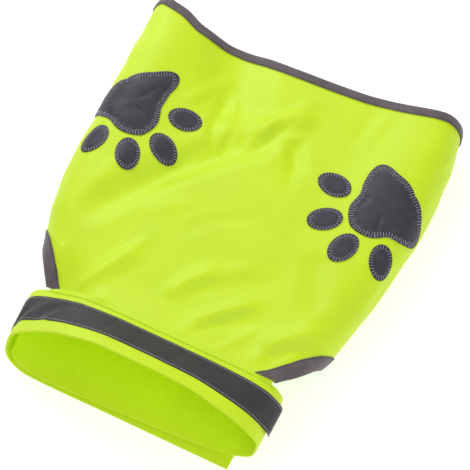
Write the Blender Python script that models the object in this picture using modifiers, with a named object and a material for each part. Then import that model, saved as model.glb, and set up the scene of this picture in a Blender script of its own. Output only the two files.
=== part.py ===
"""A dog's safety vest of fluorescent knit, with paw prints on its flanks.

It lies on its belly as an open, flattened tube. The neck faces -Y, the rear hem +Y and the back +Z.
The body wraps round and closes under the belly, and the neck band closes under the chin.
Every piece of cloth is an open sheet laid on the body or the band, with a wall added inwards.
Tables and sizes are in millimetres, and MM turns them into metres.
"""
from functools import lru_cache
from math import atan2, copysign, cos, degrees, hypot, pi, radians, sin, sqrt

import bmesh
import bpy
import numpy as np
from mathutils import Vector

MM = 0.001

# Walls and seams. What lies round a flank is a little further off, as both have flat facets there.
SEAM_GAP = 0.3
FLANK_GAP = 0.6
PAW_GAP = 0.7
CLOTH = 1.5
BAND_CLOTH = 2.0
TRIM = 1.0
TRIM_TOP = FLANK_GAP + TRIM
PAW_TOP = PAW_GAP + TRIM

# Body: the places where the ring changes from back to flank and from flank to belly are whole numbers
# of the column scale: 0 spine, 1 shoulder, 2 under the flank, 3 the belly flap's end.
BACK_STEPS = 40
BACK_RISE_START = 0.5
FLANK_STEPS = 32
BELLY_STEPS = 40
FLANK_FOLD_REACH = 0.45
NECK_SEAM_Y = -117.5
FLAP_FRONT_Y = -68.0
FLAP_REAR_Y = 165.0
FLAP_OVERLAP = 45.0
FLAP_RISE_END = 66.0
FLAP_LIFT = CLOTH + 2 * TRIM_TOP + SEAM_GAP
EDGE_FADE = 22.0

# One row for each ring of the body, from the neck to the rear hem.
# Columns: station, left width, right width, crown, left shoulder, right shoulder, bend
BODY_RINGS = (
    (-132.0, 116.0, 115.0, 51.5, 30.0, 53.0, 20.0),
    (-117.5, 118.0, 118.0, 51.5, 31.5, 52.0, 20.0),
    (-104.0, 121.0, 120.5, 49.0, 37.0, 50.0, 21.0),
    (-82.0, 125.5, 125.5, 47.0, 45.0, 50.0, 23.0),
    (-64.0, 132.5, 132.0, 47.0, 47.0, 50.0, 26.0),
    (-47.0, 138.0, 135.5, 47.0, 49.0, 50.0, 27.0),
    (0.0, 144.2, 144.4, 47.0, 51.0, 50.0, 28.0),
    (42.0, 147.0, 149.4, 46.0, 52.0, 50.0, 28.0),
    (80.0, 149.7, 151.8, 44.0, 54.0, 51.0, 28.0),
    (124.0, 151.0, 151.8, 42.0, 57.0, 52.0, 26.0),
    (165.0, 153.5, 146.0, 42.0, 57.0, 52.0, 22.0),
    (185.0, 153.5, 143.0, 42.0, 57.0, 52.0, 22.0),
)

# The cut edges: the leg openings and flap fronts, then the hem. The leg openings' lines run on
# past the neck seam, where the panel is cut straight and only the slant of the bindings follows them.
# Columns: place on the column scale, left station, right station
OPENING_EDGE = (
    (0.85, -147.0, -134.0),
    (1.0, -122.6, -120.7),
    (1.04, -118.6, -118.0),
    (1.13, -108.4, -110.8),
    (1.22, -99.5, -103.6),
    (1.3, -93.2, -96.0),
    (1.4, -86.5, -87.0),
    (1.55, -79.8, -79.8),
    (1.8, -72.5, -72.5),
    (2.0, FLAP_FRONT_Y, FLAP_FRONT_Y),
    (3.0, FLAP_FRONT_Y, FLAP_FRONT_Y),
)
# Columns: place on the column scale, left station, right station
REAR_EDGE = (
    (0.0, 158.7, 158.7),
    (0.15, 158.2, 159.0),
    (0.3, 159.7, 159.7),
    (0.45, 160.2, 160.6),
    (0.6, 158.8, 162.4),
    (0.75, 158.9, 163.3),
    (0.9, 164.7, 165.2),
    (1.0, 167.0, 167.0),
    (1.2, 171.0, 168.8),
    (1.5, 171.0, 169.3),
    (2.0, FLAP_REAR_Y, FLAP_REAR_Y),
    (3.0, FLAP_REAR_Y, FLAP_REAR_Y),
)

# The largest folds of the back, each along a bow from start through middle to end.
# Height is up from the plain ring, and width is to where the fold has faded.
# Columns: start, middle, end, height, width
FOLDS = (
    ((-108.0, -64.0), (-82.0, -4.0), (-6.0, 74.0), -5.0, 20.0),
    ((-66.0, 200.0), (-60.0, 140.0), (-26.0, 72.0), -8.0, 40.0),
    ((-14.0, 76.0), (-2.0, 108.0), (34.0, 122.0), 4.0, 14.0),
    ((20.0, 94.0), (28.0, 78.0), (40.0, 58.0), -3.0, 13.0),
    ((-80.0, -120.0), (-62.0, -88.0), (-42.0, -54.0), 3.0, 13.0),
    ((-4.0, -92.0), (-6.0, -66.0), (24.0, -46.0), 2.5, 13.0),
    ((15.0, -103.0), (40.0, -78.0), (64.0, -58.0), 2.5, 11.0),
    ((78.0, -99.0), (92.0, -76.0), (117.0, -60.0), 3.0, 13.0),
    ((84.0, 4.0), (94.0, -26.0), (106.0, -54.0), -2.5, 18.0),
)

FOLD_STEPS = 17
FOLD_END_SHARE = 0.25

# Neck band: one strip, from the left strap's end on the floor, up round the left, over the neck seam,
# down round the right, and back over the left strap.
# A rear height of None means that the rear edge lies on the neck seam.
# Columns: front x, front y, front z, rear x, rear y, rear z
STRAP_LIFT = BAND_CLOTH + 2 * TRIM + 3 * SEAM_GAP
BAND_WIDTH = 46.0
BAND_SEAM_Y = NECK_SEAM_Y - 0.5
BAND_STATIONS = (
    (92.0, -180.8, 0.0, 93.5, -134.8, 0.0),
    (40.0, -181.3, 0.0, 41.0, -135.3, 0.0),
    (-20.0, -181.8, 0.0, -20.0, -135.8, 0.0),
    (-70.0, -182.4, 0.0, -76.0, -136.3, 0.0),
    (-88.0, -182.2, 0.9, -95.0, -136.2, 0.8),
    (-102.5, -180.4, 7.5, -110.0, -134.4, 6.5),
    (-109.0, -175.8, 19.0, -115.2, -130.2, 16.0),
    (-107.0, -169.5, 32.5, -112.5, -123.5, 25.5),
    (-92.0, -163.0, 46.5, -97.0, BAND_SEAM_Y, None),
    (-61.0, -156.5, 66.0, -61.0, BAND_SEAM_Y, None),
    (-24.0, -153.8, 77.5, -22.0, BAND_SEAM_Y, None),
    (10.0, -154.8, 78.0, 12.0, BAND_SEAM_Y, None),
    (45.0, -157.2, 74.0, 47.0, BAND_SEAM_Y, None),
    (76.0, -160.2, 66.5, 78.0, BAND_SEAM_Y, None),
    (99.0, -162.8, 54.5, 99.0, NECK_SEAM_Y - 1.0, 49.0),
    (110.5, -164.5, 36.0, 111.0, -120.0, 33.0),
    (107.5, -166.8, 16.0, 108.5, -121.8, 16.0),
    (92.0, -170.5, 6.6, 93.0, -125.1, 6.6),
    (72.0, -173.5, STRAP_LIFT, 73.0, -127.9, STRAP_LIFT),
    (-5.0, -178.3, STRAP_LIFT, -4.0, -132.5, STRAP_LIFT),
    (-70.0, -180.9, STRAP_LIFT, -74.0, -135.0, STRAP_LIFT),
    (-85.5, -180.8, 5.9, -91.8, -135.0, 5.8),
    (-98.4, -178.9, 11.3, -105.6, -133.1, 10.3),
    (-104.2, -175.2, 18.5, -110.8, -129.7, 16.0),
)
BAND_SPACING = 6.0
BAND_ROWS = (0.0, 12.0, 24.0, 36.0, BAND_WIDTH)

# Reflective tape, between the flanks of the band, its right end cut square and standing free
TAPE_FRONT = 12.0
TAPE_WIDTH = 26.0
TAPE_START_STATION = 5.6
TAPE_END_STATION = 15.15
TAPE_FREE_LENGTH = 16.0
TAPE_FREE_LIFT = 2.6
TAPE_ROWS = 4

# Bindings. An armhole binding starts on a slant at the neck seam, its inner rows first.
# Start, end, slant and step are on the column scale.
HEM_LEG = 7.5
OPENING_LEG = 10.5
BINDING_ROUND = 0.9
LEG_CELL = 4.0
BINDING_SEAM_Y = NECK_SEAM_Y + 0.4
ARMHOLE_START = 1.05
SLANT_START = 0.87
SLANT_END = 1.375
SLANT_STEPS = 40
BINDING_END = 0.02
EDGE_STEP = 0.01

# Paw prints, laid out from the middle of the pad. Angles are from the toes' direction.
PAW_DISTANCE = 119.0
PAW_STATION = 60.5
PAW_TURN = {-1: radians(40.0), 1: radians(37.5)}
# Columns: angle, left radius, right radius
PAD_OUTLINE = (
    (0.0, 34.0, 34.0),
    (32.0, 30.5, 30.5),
    (63.0, 26.0, 25.5),
    (90.0, 32.0, 33.0),
    (115.0, 46.0, 43.0),
    (140.0, 32.5, 34.0),
    (180.0, 23.5, 28.0),
)
PAD_CELLS = 14
# Columns: angle, distance, half length, half width
TOES = (
    (-56.0, 47.5, 15.0, 10.5),
    (-17.0, 51.0, 15.0, 10.5),
    (18.0, 51.5, 15.0, 10.5),
    (58.0, 48.5, 15.0, 11.0),
)
TOE_CELLS = 6

# Hook and loop strips: middle x, middle y, length in x, length in y, underside z
NECK_STRIP = (10.0, -154.5, 80.0, 30.0, BAND_CLOTH + SEAM_GAP)
BELLY_STRIP = (3.0, 56.0, 30.0, 150.0, CLOTH + SEAM_GAP)
STRIP_STEP = TRIM + SEAM_GAP

# Grid lines of the back panel
BACK_COLUMNS = 12
FLANK_COLUMNS = 19
BELLY_COLUMNS = 7
PANEL_ROWS = 28

# How far to each side a surface's slope is taken
SLOPE_REACH = 1.0

# The origin, under the middle of the whole vest
ORIGIN_SHIFT = (1.61, 4.9, 0.0)

COLOURS = {
    "fluorescent_knit": ((0.60, 0.86, 0.04), 0.85),
    "grey_binding": ((0.17, 0.125, 0.155), 0.75),
    "reflective_cloth": ((0.085, 0.088, 0.098), 0.5),
    "closure_tape": ((0.62, 0.84, 0.05), 0.9),
}


def smoothstep(share):
    """Soft rise from 0 to 1 as share goes from 0 to 1."""
    share = np.clip(share, 0.0, 1.0)
    return share * share * (3 - 2 * share)


def smooth_rows(table, place):
    """The other columns of a table at a place in its first one.

    The curve is smooth through the rows and never overshoots them, so what lies flat stays flat.
    """
    rows = np.array(table, float)
    knots = rows[:, 0]
    values = rows[:, 1:]
    secants = np.diff(values, axis=0) / np.diff(knots)[:, None]
    turning = secants[:-1] * secants[1:] <= 0
    sums = np.where(turning, 1.0, secants[:-1] + secants[1:])
    inner = np.where(turning, 0.0, 2 * secants[:-1] * secants[1:] / sums)
    slopes = np.concatenate([secants[:1], inner, secants[-1:]])
    row = int(np.clip(np.searchsorted(knots, place) - 1, 0, len(knots) - 2))
    span = knots[row + 1] - knots[row]
    t = float(np.clip((place - knots[row]) / span, 0, 1))
    start = (1 + 2 * t) * (1 - t) ** 2 * values[row] + t * (1 - t) ** 2 * span * slopes[row]
    end = t * t * (3 - 2 * t) * values[row + 1] + t * t * (t - 1) * span * slopes[row + 1]
    return start + end


def fold_height(x, y):
    """Height of all the folds at points of the back."""
    total = np.zeros_like(x)
    for start, middle, end, height, width in FOLDS:
        nearest = np.full_like(x, np.inf)
        share = np.zeros_like(x)
        for t in np.linspace(0, 1, FOLD_STEPS):
            bow_x = (1 - t) ** 2 * start[0] + 2 * t * (1 - t) * middle[0] + t * t * end[0]
            bow_y = (1 - t) ** 2 * start[1] + 2 * t * (1 - t) * middle[1] + t * t * end[1]
            away = np.hypot(x - bow_x, y - bow_y)
            share = np.where(away < nearest, t, share)
            nearest = np.minimum(nearest, away)
        ends = smoothstep(np.minimum(share, 1 - share) / FOLD_END_SHARE)
        total += height * ends * (1 - smoothstep(nearest / width))
    return total


def edge_lift(station):
    """How far the belly is off the floor: its bound edges ride on their binding."""
    past_binding = min(FLAP_REAR_Y - HEM_LEG - station, station - FLAP_FRONT_Y - OPENING_LEG)
    return TRIM_TOP * (1 - smoothstep(past_binding / EDGE_FADE))


@lru_cache(maxsize=None)
def ring_outline(station, side):
    """Outer outline of one side of the body: distance over the cloth from the spine, x and z.

    It runs over the back, round the flank and under the belly, and ends past the middle.
    The right flap ends above the left one.
    """
    left_width, right_width, crown, left, right, bend = smooth_rows(BODY_RINGS, station)
    shoulder = right if side > 0 else left
    flat = (right_width if side > 0 else left_width) - bend
    base = float(edge_lift(station))

    back = np.linspace(0, 1, BACK_STEPS + 1)
    back_x = flat * back
    rise = (back - BACK_RISE_START) / (1 - BACK_RISE_START)
    back_z = crown + (shoulder - crown) * smoothstep(rise)

    turn = np.linspace(0, pi, FLANK_STEPS + 1)[1:]
    flank_x = flat + bend * np.sin(turn)
    flank_z = base + (shoulder - base) * (1 + np.cos(turn)) / 2

    belly = np.linspace(0, 1, BELLY_STEPS + 1)[1:]
    belly_x = flat - (flat + FLAP_OVERLAP) * belly
    belly_z = np.full_like(belly_x, base)
    if side > 0:
        belly_z += FLAP_LIFT * smoothstep((flat - belly_x) / (flat - FLAP_RISE_END))

    x = np.concatenate([back_x, flank_x, belly_x])
    z = np.concatenate([back_z, flank_z, belly_z])
    reach = np.concatenate([np.zeros_like(back), turn / pi, np.ones_like(belly)])
    weight = 1 - smoothstep(reach / FLANK_FOLD_REACH)
    z = z + fold_height(side * x, np.full_like(x, station)) * weight
    steps = np.hypot(np.diff(x), np.diff(z))
    return np.concatenate([[0], np.cumsum(steps)]), x, z


def cloth_point(distance, station):
    """Point on the body's outer face, at a distance over the cloth from the spine; left is negative."""
    side = -1 if distance < 0 else 1
    length, x, z = ring_outline(round(station, 3), side)
    away = abs(distance)
    return Vector((side * np.interp(away, length, x), station, np.interp(away, length, z)))


def lay_on_body(distance, station, height):
    """Point at a height off the body's outer face."""
    reach = SLOPE_REACH
    across = cloth_point(distance + reach, station) - cloth_point(distance - reach, station)
    along = cloth_point(distance, station + reach) - cloth_point(distance, station - reach)
    return cloth_point(distance, station) + across.cross(along).normalized() * height


def column_distance(column, station):
    """Distance over the cloth of a place on the column scale."""
    length = ring_outline(round(station, 3), -1 if column < 0 else 1)[0]
    marks = (0, length[BACK_STEPS], length[BACK_STEPS + FLANK_STEPS], length[-1])
    return copysign(np.interp(abs(column), (0, 1, 2, 3), marks), column)


def opening_edge(column):
    """Station of the line of a leg opening's edge."""
    left, right = smooth_rows(OPENING_EDGE, abs(column))
    return float(right if column > 0 else left)


def front_edge(column):
    """Station of the body's front edge: the neck seam, then the leg opening."""
    return max(NECK_SEAM_Y, opening_edge(column))


def rear_edge(column):
    """Station of the rear hem's edge."""
    left, right = smooth_rows(REAR_EDGE, abs(column))
    return float(right if column > 0 else left)


def beside_edge(edge, column, width):
    """Distance over the cloth and station of a place at a width to the left of an edge."""
    before, here, after = (
        np.array([column_distance(place, edge(place)), edge(place)])
        for place in (column - EDGE_STEP, column, column + EDGE_STEP)
    )
    run = (after - before) / np.linalg.norm(after - before)
    return here + np.array([-run[1], run[0]]) * width


def panel_columns():
    """Column lines from the left flap's end to the right one's, closest round the flanks."""
    back = np.linspace(0, 1, BACK_COLUMNS)
    flank = np.linspace(1, 2, FLANK_COLUMNS)[1:]
    belly = np.linspace(2, 3, BELLY_COLUMNS)[1:]
    half = np.concatenate([back, flank, belly])
    return np.concatenate([-half[:0:-1], half])


def neck_seam_height(x):
    """Height of the body's outer face at the neck seam."""
    outline_x, outline_z = ring_outline(NECK_SEAM_Y, -1 if x < 0 else 1)[1:]
    back = slice(0, BACK_STEPS + 1)
    return float(np.interp(abs(x), outline_x[back], outline_z[back]))


@lru_cache(maxsize=1)
def band_table():
    """The band's stations, each after its distance along the band's middle line."""
    rows = []
    for station in BAND_STATIONS:
        rear_z = neck_seam_height(station[3]) if station[5] is None else station[5]
        rows.append((*station[:5], rear_z))
    rows = np.array(rows)
    middle = (rows[:, :3] + rows[:, 3:]) / 2
    steps = np.linalg.norm(np.diff(middle, axis=0), axis=1)
    return np.column_stack([np.concatenate([[0], np.cumsum(steps)]), rows])


def band_point(along, across):
    """Point on the band's outer face, at a distance along it and a width from its front edge."""
    values = smooth_rows(band_table(), along)
    front = Vector(values[:3])
    rear = Vector(values[3:])
    return front.lerp(rear, across / BAND_WIDTH)


def lay_on_band(along, across, height):
    """Point at a height off the band's outer face."""
    ahead = band_point(along + SLOPE_REACH, across) - band_point(along - SLOPE_REACH, across)
    width = band_point(along, BAND_WIDTH) - band_point(along, 0)
    return band_point(along, across) + ahead.cross(width).normalized() * height


def station_distance(station):
    """Distance along the band of a whole or part station number."""
    distance = band_table()[:, 0]
    return float(np.interp(station, range(len(distance)), distance))


def principled(name):
    """A plain material in one of the vest's colours."""
    colour, roughness = COLOURS[name]
    material = bpy.data.materials.get(name) or bpy.data.materials.new(name)
    material.use_nodes = True
    shader = material.node_tree.nodes["Principled BSDF"]
    shader.inputs["Base Color"].default_value = (*colour, 1)
    shader.inputs["Roughness"].default_value = roughness
    shader.inputs["Metallic"].default_value = 0
    material.diffuse_color = (*colour, 1)
    return material


def cloth_sheet(name, columns, rows, place, wall, material, collection):
    """An open sheet, its grid placed by place(column, row) on its outer face, with a wall inwards."""
    mesh = bpy.data.meshes.new(name)
    grid = bmesh.new()
    bmesh.ops.create_grid(grid, x_segments=len(columns) - 1, y_segments=len(rows) - 1, size=1)
    for vertex in grid.verts:
        column = round((vertex.co.x + 1) / 2 * (len(columns) - 1))
        row = round((vertex.co.y + 1) / 2 * (len(rows) - 1))
        vertex.co = place(columns[column], rows[row]) * MM
    grid.to_mesh(mesh)
    grid.free()
    mesh.shade_smooth()
    mesh.materials.append(principled(material))
    sheet = bpy.data.objects.new(name, mesh)
    collection.objects.link(sheet)
    solidify = sheet.modifiers.new("Wall", "SOLIDIFY")
    solidify.thickness = wall * MM
    solidify.offset = -1
    solidify.use_even_offset = True
    solidify.use_quality_normals = True
    return sheet


def add_back_panel(collection):
    """The back, flanks and both belly flaps, cut in one."""

    def place(column, share):
        front = front_edge(column)
        station = front + (rear_edge(column) - front) * share
        return cloth_point(column_distance(column, station), station)

    rows = np.linspace(0, 1, PANEL_ROWS + 1)
    cloth_sheet("back_panel", panel_columns(), rows, place, CLOTH, "fluorescent_knit", collection)


def binding_profile(leg):
    """Outer outline of a folded binding round the cloth's edge: width in from the edge, and height."""
    top = TRIM_TOP
    bottom = -CLOTH - TRIM_TOP
    turn = -TRIM_TOP
    start = turn + BINDING_ROUND
    widths = np.linspace(leg, start, round(leg / LEG_CELL) + 1)
    outer_leg = [(width, top) for width in widths]
    fold = [(turn, top - BINDING_ROUND), (turn, bottom + BINDING_ROUND)]
    inner_leg = [(width, bottom) for width in widths[::-1]]
    return outer_leg + fold + inner_leg


def add_binding(name, columns, edge, inward, leg, collection):
    """A binding folded round an edge of the body, its legs on both faces."""

    def place(column, profile_place):
        width, height = profile_place
        if edge == opening_edge:
            column = slanted(column, width)
        distance, station = beside_edge(edge, column, inward * width)
        return lay_on_body(distance, station, height)

    profile = binding_profile(leg)
    if inward > 0:
        profile = profile[::-1]
    cloth_sheet(name, columns, profile, place, TRIM, "grey_binding", collection)


@lru_cache(maxsize=None)
def slant_start(side, width):
    """Where a row of an armhole binding leaves the neck seam, at a width in from the edge."""
    columns = np.linspace(SLANT_START, SLANT_END, SLANT_STEPS)
    stations = [beside_edge(opening_edge, side * column, width)[1] for column in columns]
    return float(np.interp(BINDING_SEAM_Y, stations, columns))


def slanted(column, width):
    """A column of an armhole binding, moved for the slant with which it starts."""
    place = abs(column)
    if place < SLANT_END:
        start = slant_start(copysign(1, column), width)
        share = (place - ARMHOLE_START) / (SLANT_END - ARMHOLE_START)
        place = start + (SLANT_END - start) * share
    return copysign(place, column)


def add_bindings(collection):
    """Hem binding all round, and a binding along each leg opening and flap front."""
    hem_columns = panel_columns()
    hem_columns[0] += BINDING_END
    hem_columns[-1] -= BINDING_END
    add_binding("hem_binding", hem_columns, rear_edge, -1, HEM_LEG, collection)
    half = panel_columns()
    half = np.concatenate([[ARMHOLE_START], half[half > ARMHOLE_START]])
    half[-1] -= BINDING_END
    add_binding("armhole_binding_right", half, opening_edge, 1, OPENING_LEG, collection)
    add_binding("armhole_binding_left", -half[::-1], opening_edge, 1, OPENING_LEG, collection)


def add_neck_band(collection):
    """The strip that closes round the neck, its ends lying on each other under the chin."""
    length = band_table()[-1, 0]
    columns = np.linspace(0, length, round(length / BAND_SPACING) + 1)
    cloth_sheet("neck_band", columns, BAND_ROWS, band_point, BAND_CLOTH, "fluorescent_knit", collection)


def add_reflective_tape(collection):
    """Tape over the top of the band."""
    start = station_distance(TAPE_START_STATION)
    end = station_distance(TAPE_END_STATION)

    def place(along, across):
        free = smoothstep((along - end + TAPE_FREE_LENGTH) / TAPE_FREE_LENGTH)
        return lay_on_band(along, across, TRIM_TOP + TAPE_FREE_LIFT * free)

    columns = np.linspace(start, end, round((end - start) / BAND_SPACING) + 1)
    rows = np.linspace(TAPE_FRONT, TAPE_FRONT + TAPE_WIDTH, TAPE_ROWS)
    cloth_sheet("reflective_tape", columns, rows, place, TRIM, "reflective_cloth", collection)


def disc_place(across, along):
    """A place on a square from -1 to 1, drawn in to a disc: its angle and its share of the radius."""
    disc_x = across * sqrt(1 - along * along / 2)
    disc_y = along * sqrt(1 - across * across / 2)
    return atan2(disc_y, disc_x), hypot(disc_x, disc_y)


def paw_to_cloth(side, forward, sideways):
    """A place in the paw's own plane, as distance over the cloth and station."""
    turn = PAW_TURN[side]
    inward = forward * sin(turn) + sideways * cos(turn)
    rearward = sideways * sin(turn) - forward * cos(turn)
    return side * (PAW_DISTANCE - inward), PAW_STATION + rearward


def pad_radius(angle, side):
    """Outline of a pad: three lobes, one towards the toes, mirrored about that direction."""
    left, right = smooth_rows(PAD_OUTLINE, degrees(abs(angle)))
    return float(right if side > 0 else left)


def add_paw(side_name, side, collection):
    """A pad and four toes of reflective cloth, laid on one flank."""
    name = "paw_" + side_name

    def place_pad(across, along):
        angle, share = disc_place(across, -side * along)
        radius = pad_radius(angle, side) * share
        distance, station = paw_to_cloth(side, radius * cos(angle), radius * sin(angle))
        return lay_on_body(distance, station, PAW_TOP)

    cells = np.linspace(-1, 1, PAD_CELLS + 1)
    cloth_sheet(name + "_pad", cells, cells, place_pad, TRIM, "reflective_cloth", collection)

    for number, (degree, distance, half_length, half_width) in enumerate(TOES, start=1):
        angle = radians(degree)

        def place_toe(across, along):
            turn, share = disc_place(across, -side * along)
            out = distance + half_length * share * cos(turn)
            over = half_width * share * sin(turn)
            forward = out * cos(angle) - over * sin(angle)
            sideways = out * sin(angle) + over * cos(angle)
            place, station = paw_to_cloth(side, forward, sideways)
            return lay_on_body(place, station, PAW_TOP)

        cells = np.linspace(-1, 1, TOE_CELLS + 1)
        toe = f"{name}_toe_{number}"
        cloth_sheet(toe, cells, cells, place_toe, TRIM, "reflective_cloth", collection)


def add_closure(name, strip, collection):
    """A loop strip and the hook strip on it, between two layers that lie flat."""
    middle_x, middle_y, length_x, length_y, underside = strip
    for layer, kind in enumerate(("loop", "hook")):
        middle_z = underside + layer * STRIP_STEP + TRIM / 2
        bpy.ops.mesh.primitive_cube_add(size=1, location=Vector((middle_x, middle_y, middle_z)) * MM)
        piece = bpy.context.active_object
        piece.name = f"{name}_closure_{kind}"
        piece.data.name = piece.name
        piece.scale = Vector((length_x, length_y, TRIM)) * MM
        piece.data.materials.append(principled("closure_tape"))
        for other in piece.users_collection:
            other.objects.unlink(piece)
        collection.objects.link(piece)


def main():
    for item in list(bpy.data.objects):
        bpy.data.objects.remove(item, do_unlink=True)
    vest = bpy.data.collections.new("dog_safety_vest")
    bpy.context.scene.collection.children.link(vest)
    origin = bpy.data.objects.new("vest_origin", None)
    origin.location = Vector(ORIGIN_SHIFT) * MM
    vest.objects.link(origin)
    add_back_panel(vest)
    add_bindings(vest)
    add_neck_band(vest)
    add_reflective_tape(vest)
    add_paw("left", -1, vest)
    add_paw("right", 1, vest)
    add_closure("neck", NECK_STRIP, vest)
    add_closure("belly", BELLY_STRIP, vest)
    for piece in vest.objects:
        if piece != origin:
            piece.parent = origin


main()
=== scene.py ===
"""A dog's safety vest, dressed: thin knit cloth, bound edges, reflective tape, paw prints and sewing.

The vest lies on its belly as an open, flattened tube. The neck faces -Y, the hem +Y and the back +Z.
Tables are in millimetres from the vest's own middle. MM and ORIGIN_SHIFT bring them into the frame.
Places on the body are a distance over the cloth from the spine, left negative, and a station along it.
Places on the neck band are a distance along it and a width across it from its front edge.
"""

from functools import lru_cache
from math import cos, pi, radians, sin

import bpy
import numpy as np
from bpy.props import FloatProperty, FloatVectorProperty, PointerProperty
from bpy.types import Operator, Panel, PropertyGroup
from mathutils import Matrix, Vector


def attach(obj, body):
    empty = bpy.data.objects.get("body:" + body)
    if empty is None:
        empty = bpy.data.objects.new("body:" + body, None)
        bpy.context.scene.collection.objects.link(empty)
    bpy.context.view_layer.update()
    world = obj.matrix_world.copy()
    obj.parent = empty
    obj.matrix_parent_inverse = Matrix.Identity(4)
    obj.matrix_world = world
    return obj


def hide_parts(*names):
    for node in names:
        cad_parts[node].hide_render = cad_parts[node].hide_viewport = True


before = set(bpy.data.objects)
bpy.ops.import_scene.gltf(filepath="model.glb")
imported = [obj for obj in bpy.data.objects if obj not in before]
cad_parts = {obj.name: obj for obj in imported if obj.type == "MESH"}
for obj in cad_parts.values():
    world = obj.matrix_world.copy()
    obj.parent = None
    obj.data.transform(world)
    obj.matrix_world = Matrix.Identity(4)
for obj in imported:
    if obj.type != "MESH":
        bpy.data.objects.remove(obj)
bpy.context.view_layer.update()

bl_info = {
    "name": "Dog Safety Vest",
    "version": (1, 0, 0),
    "blender": (4, 5, 0),
    "location": "3D View > Sidebar > Vest",
    "description": "Sews a dog's safety vest on its packed frame",
    "category": "Object",
}

MM = 0.001
ORIGIN_SHIFT = (1.61, 4.9, 0.0)

# Cloth layers, as heights off the outer face of what they lie on
BODY_WALL = 0.9
TRIM_WALL = 0.8
TRIM_GAP = 0.25
BAND_WALL = 1.8
TAPE_WALL = 0.5
TAPE_GAP = 0.2
PAW_WALL = 0.7
PAW_GAP = 0.2
PAW_LEAST = 0.45
FLANK_CLEARANCE = 1.6
FLOOR_CLEARANCE = 0.02
BINDING_PUFF = 0.35
BAND_PUFF = 0.25
TAPE_PUFF = 0.25
PAD_SWELL = 1.0
TOE_SWELL = 0.75
PAW_RIPPLE = 0.16

# Body
BACK_RISE_START = 0.5
FLANK_FOLD_REACH = 0.45
NECK_SEAM_Y = -117.5
FLAP_FRONT_Y = -68.0
FLAP_REAR_Y = 165.0
FLAP_OVERLAP = 45.0
FLAP_RISE_END = 66.0
FLAP_LIFT = 5.0
EDGE_FADE = 22.0

# Bindings. Start, end, slant and step are on the column scale.
HEM_LEG = 7.5
OPENING_LEG = 10.5
BINDING_SEAM_Y = NECK_SEAM_Y + 0.4
ARMHOLE_START = 1.05
SLANT_START = 0.87
SLANT_END = 1.375
BINDING_END = 0.02
EDGE_STEP = 0.01
BINDING_STITCH_INSET = 0.9

# Columns: station, left width, right width, crown, left shoulder, right shoulder, bend
BODY_RINGS = (
    (-132.0, 116.0, 115.0, 51.5, 30.0, 53.0, 20.0),
    (-117.5, 118.0, 118.0, 51.5, 31.5, 52.0, 20.0),
    (-104.0, 121.0, 120.5, 49.0, 37.0, 50.0, 21.0),
    (-82.0, 125.5, 125.5, 47.0, 45.0, 50.0, 23.0),
    (-64.0, 132.5, 132.0, 47.0, 47.0, 50.0, 26.0),
    (-47.0, 138.0, 135.5, 47.0, 49.0, 50.0, 27.0),
    (0.0, 144.2, 144.4, 47.0, 51.0, 50.0, 28.0),
    (42.0, 147.0, 149.4, 46.0, 52.0, 50.0, 28.0),
    (80.0, 149.7, 151.8, 44.0, 54.0, 51.0, 28.0),
    (124.0, 151.0, 151.8, 42.0, 57.0, 52.0, 26.0),
    (165.0, 153.5, 146.0, 42.0, 57.0, 52.0, 22.0),
    (185.0, 153.5, 143.0, 42.0, 57.0, 52.0, 22.0),
)

# Leg openings, their lines running on past the neck seam.
# Columns: place on the column scale, left station, right station
OPENING_EDGE = (
    (0.85, -147.0, -134.0),
    (1.0, -122.6, -120.7),
    (1.04, -118.6, -118.0),
    (1.13, -108.4, -110.8),
    (1.22, -99.5, -103.6),
    (1.3, -93.2, -96.0),
    (1.4, -86.5, -87.0),
    (1.55, -79.8, -79.8),
    (1.8, -72.5, -72.5),
    (2.0, FLAP_FRONT_Y, FLAP_FRONT_Y),
    (3.0, FLAP_FRONT_Y, FLAP_FRONT_Y),
)
# Columns: place on the column scale, left station, right station
REAR_EDGE = (
    (0.0, 158.7, 158.7),
    (0.15, 158.2, 159.0),
    (0.3, 159.7, 159.7),
    (0.45, 160.2, 160.6),
    (0.6, 158.8, 162.4),
    (0.75, 158.9, 163.3),
    (0.9, 164.7, 165.2),
    (1.0, 167.0, 167.0),
    (1.2, 171.0, 168.8),
    (1.5, 171.0, 169.3),
    (2.0, FLAP_REAR_Y, FLAP_REAR_Y),
    (3.0, FLAP_REAR_Y, FLAP_REAR_Y),
)

# The largest folds of the back, as the solids have them.
# Columns: start, middle, end, height, width
FOLDS = (
    ((-108.0, -64.0), (-82.0, -4.0), (-6.0, 74.0), -5.0, 20.0),
    ((-66.0, 200.0), (-60.0, 140.0), (-26.0, 72.0), -8.0, 40.0),
    ((-14.0, 76.0), (-2.0, 108.0), (34.0, 122.0), 4.0, 14.0),
    ((20.0, 94.0), (28.0, 78.0), (40.0, 58.0), -3.0, 13.0),
    ((-80.0, -120.0), (-62.0, -88.0), (-42.0, -54.0), 3.0, 13.0),
    ((-4.0, -92.0), (-6.0, -66.0), (24.0, -46.0), 2.5, 13.0),
    ((15.0, -103.0), (40.0, -78.0), (64.0, -58.0), 2.5, 11.0),
    ((78.0, -99.0), (92.0, -76.0), (117.0, -60.0), 3.0, 13.0),
    ((84.0, 4.0), (94.0, -26.0), (106.0, -54.0), -2.5, 18.0),
)

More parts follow.
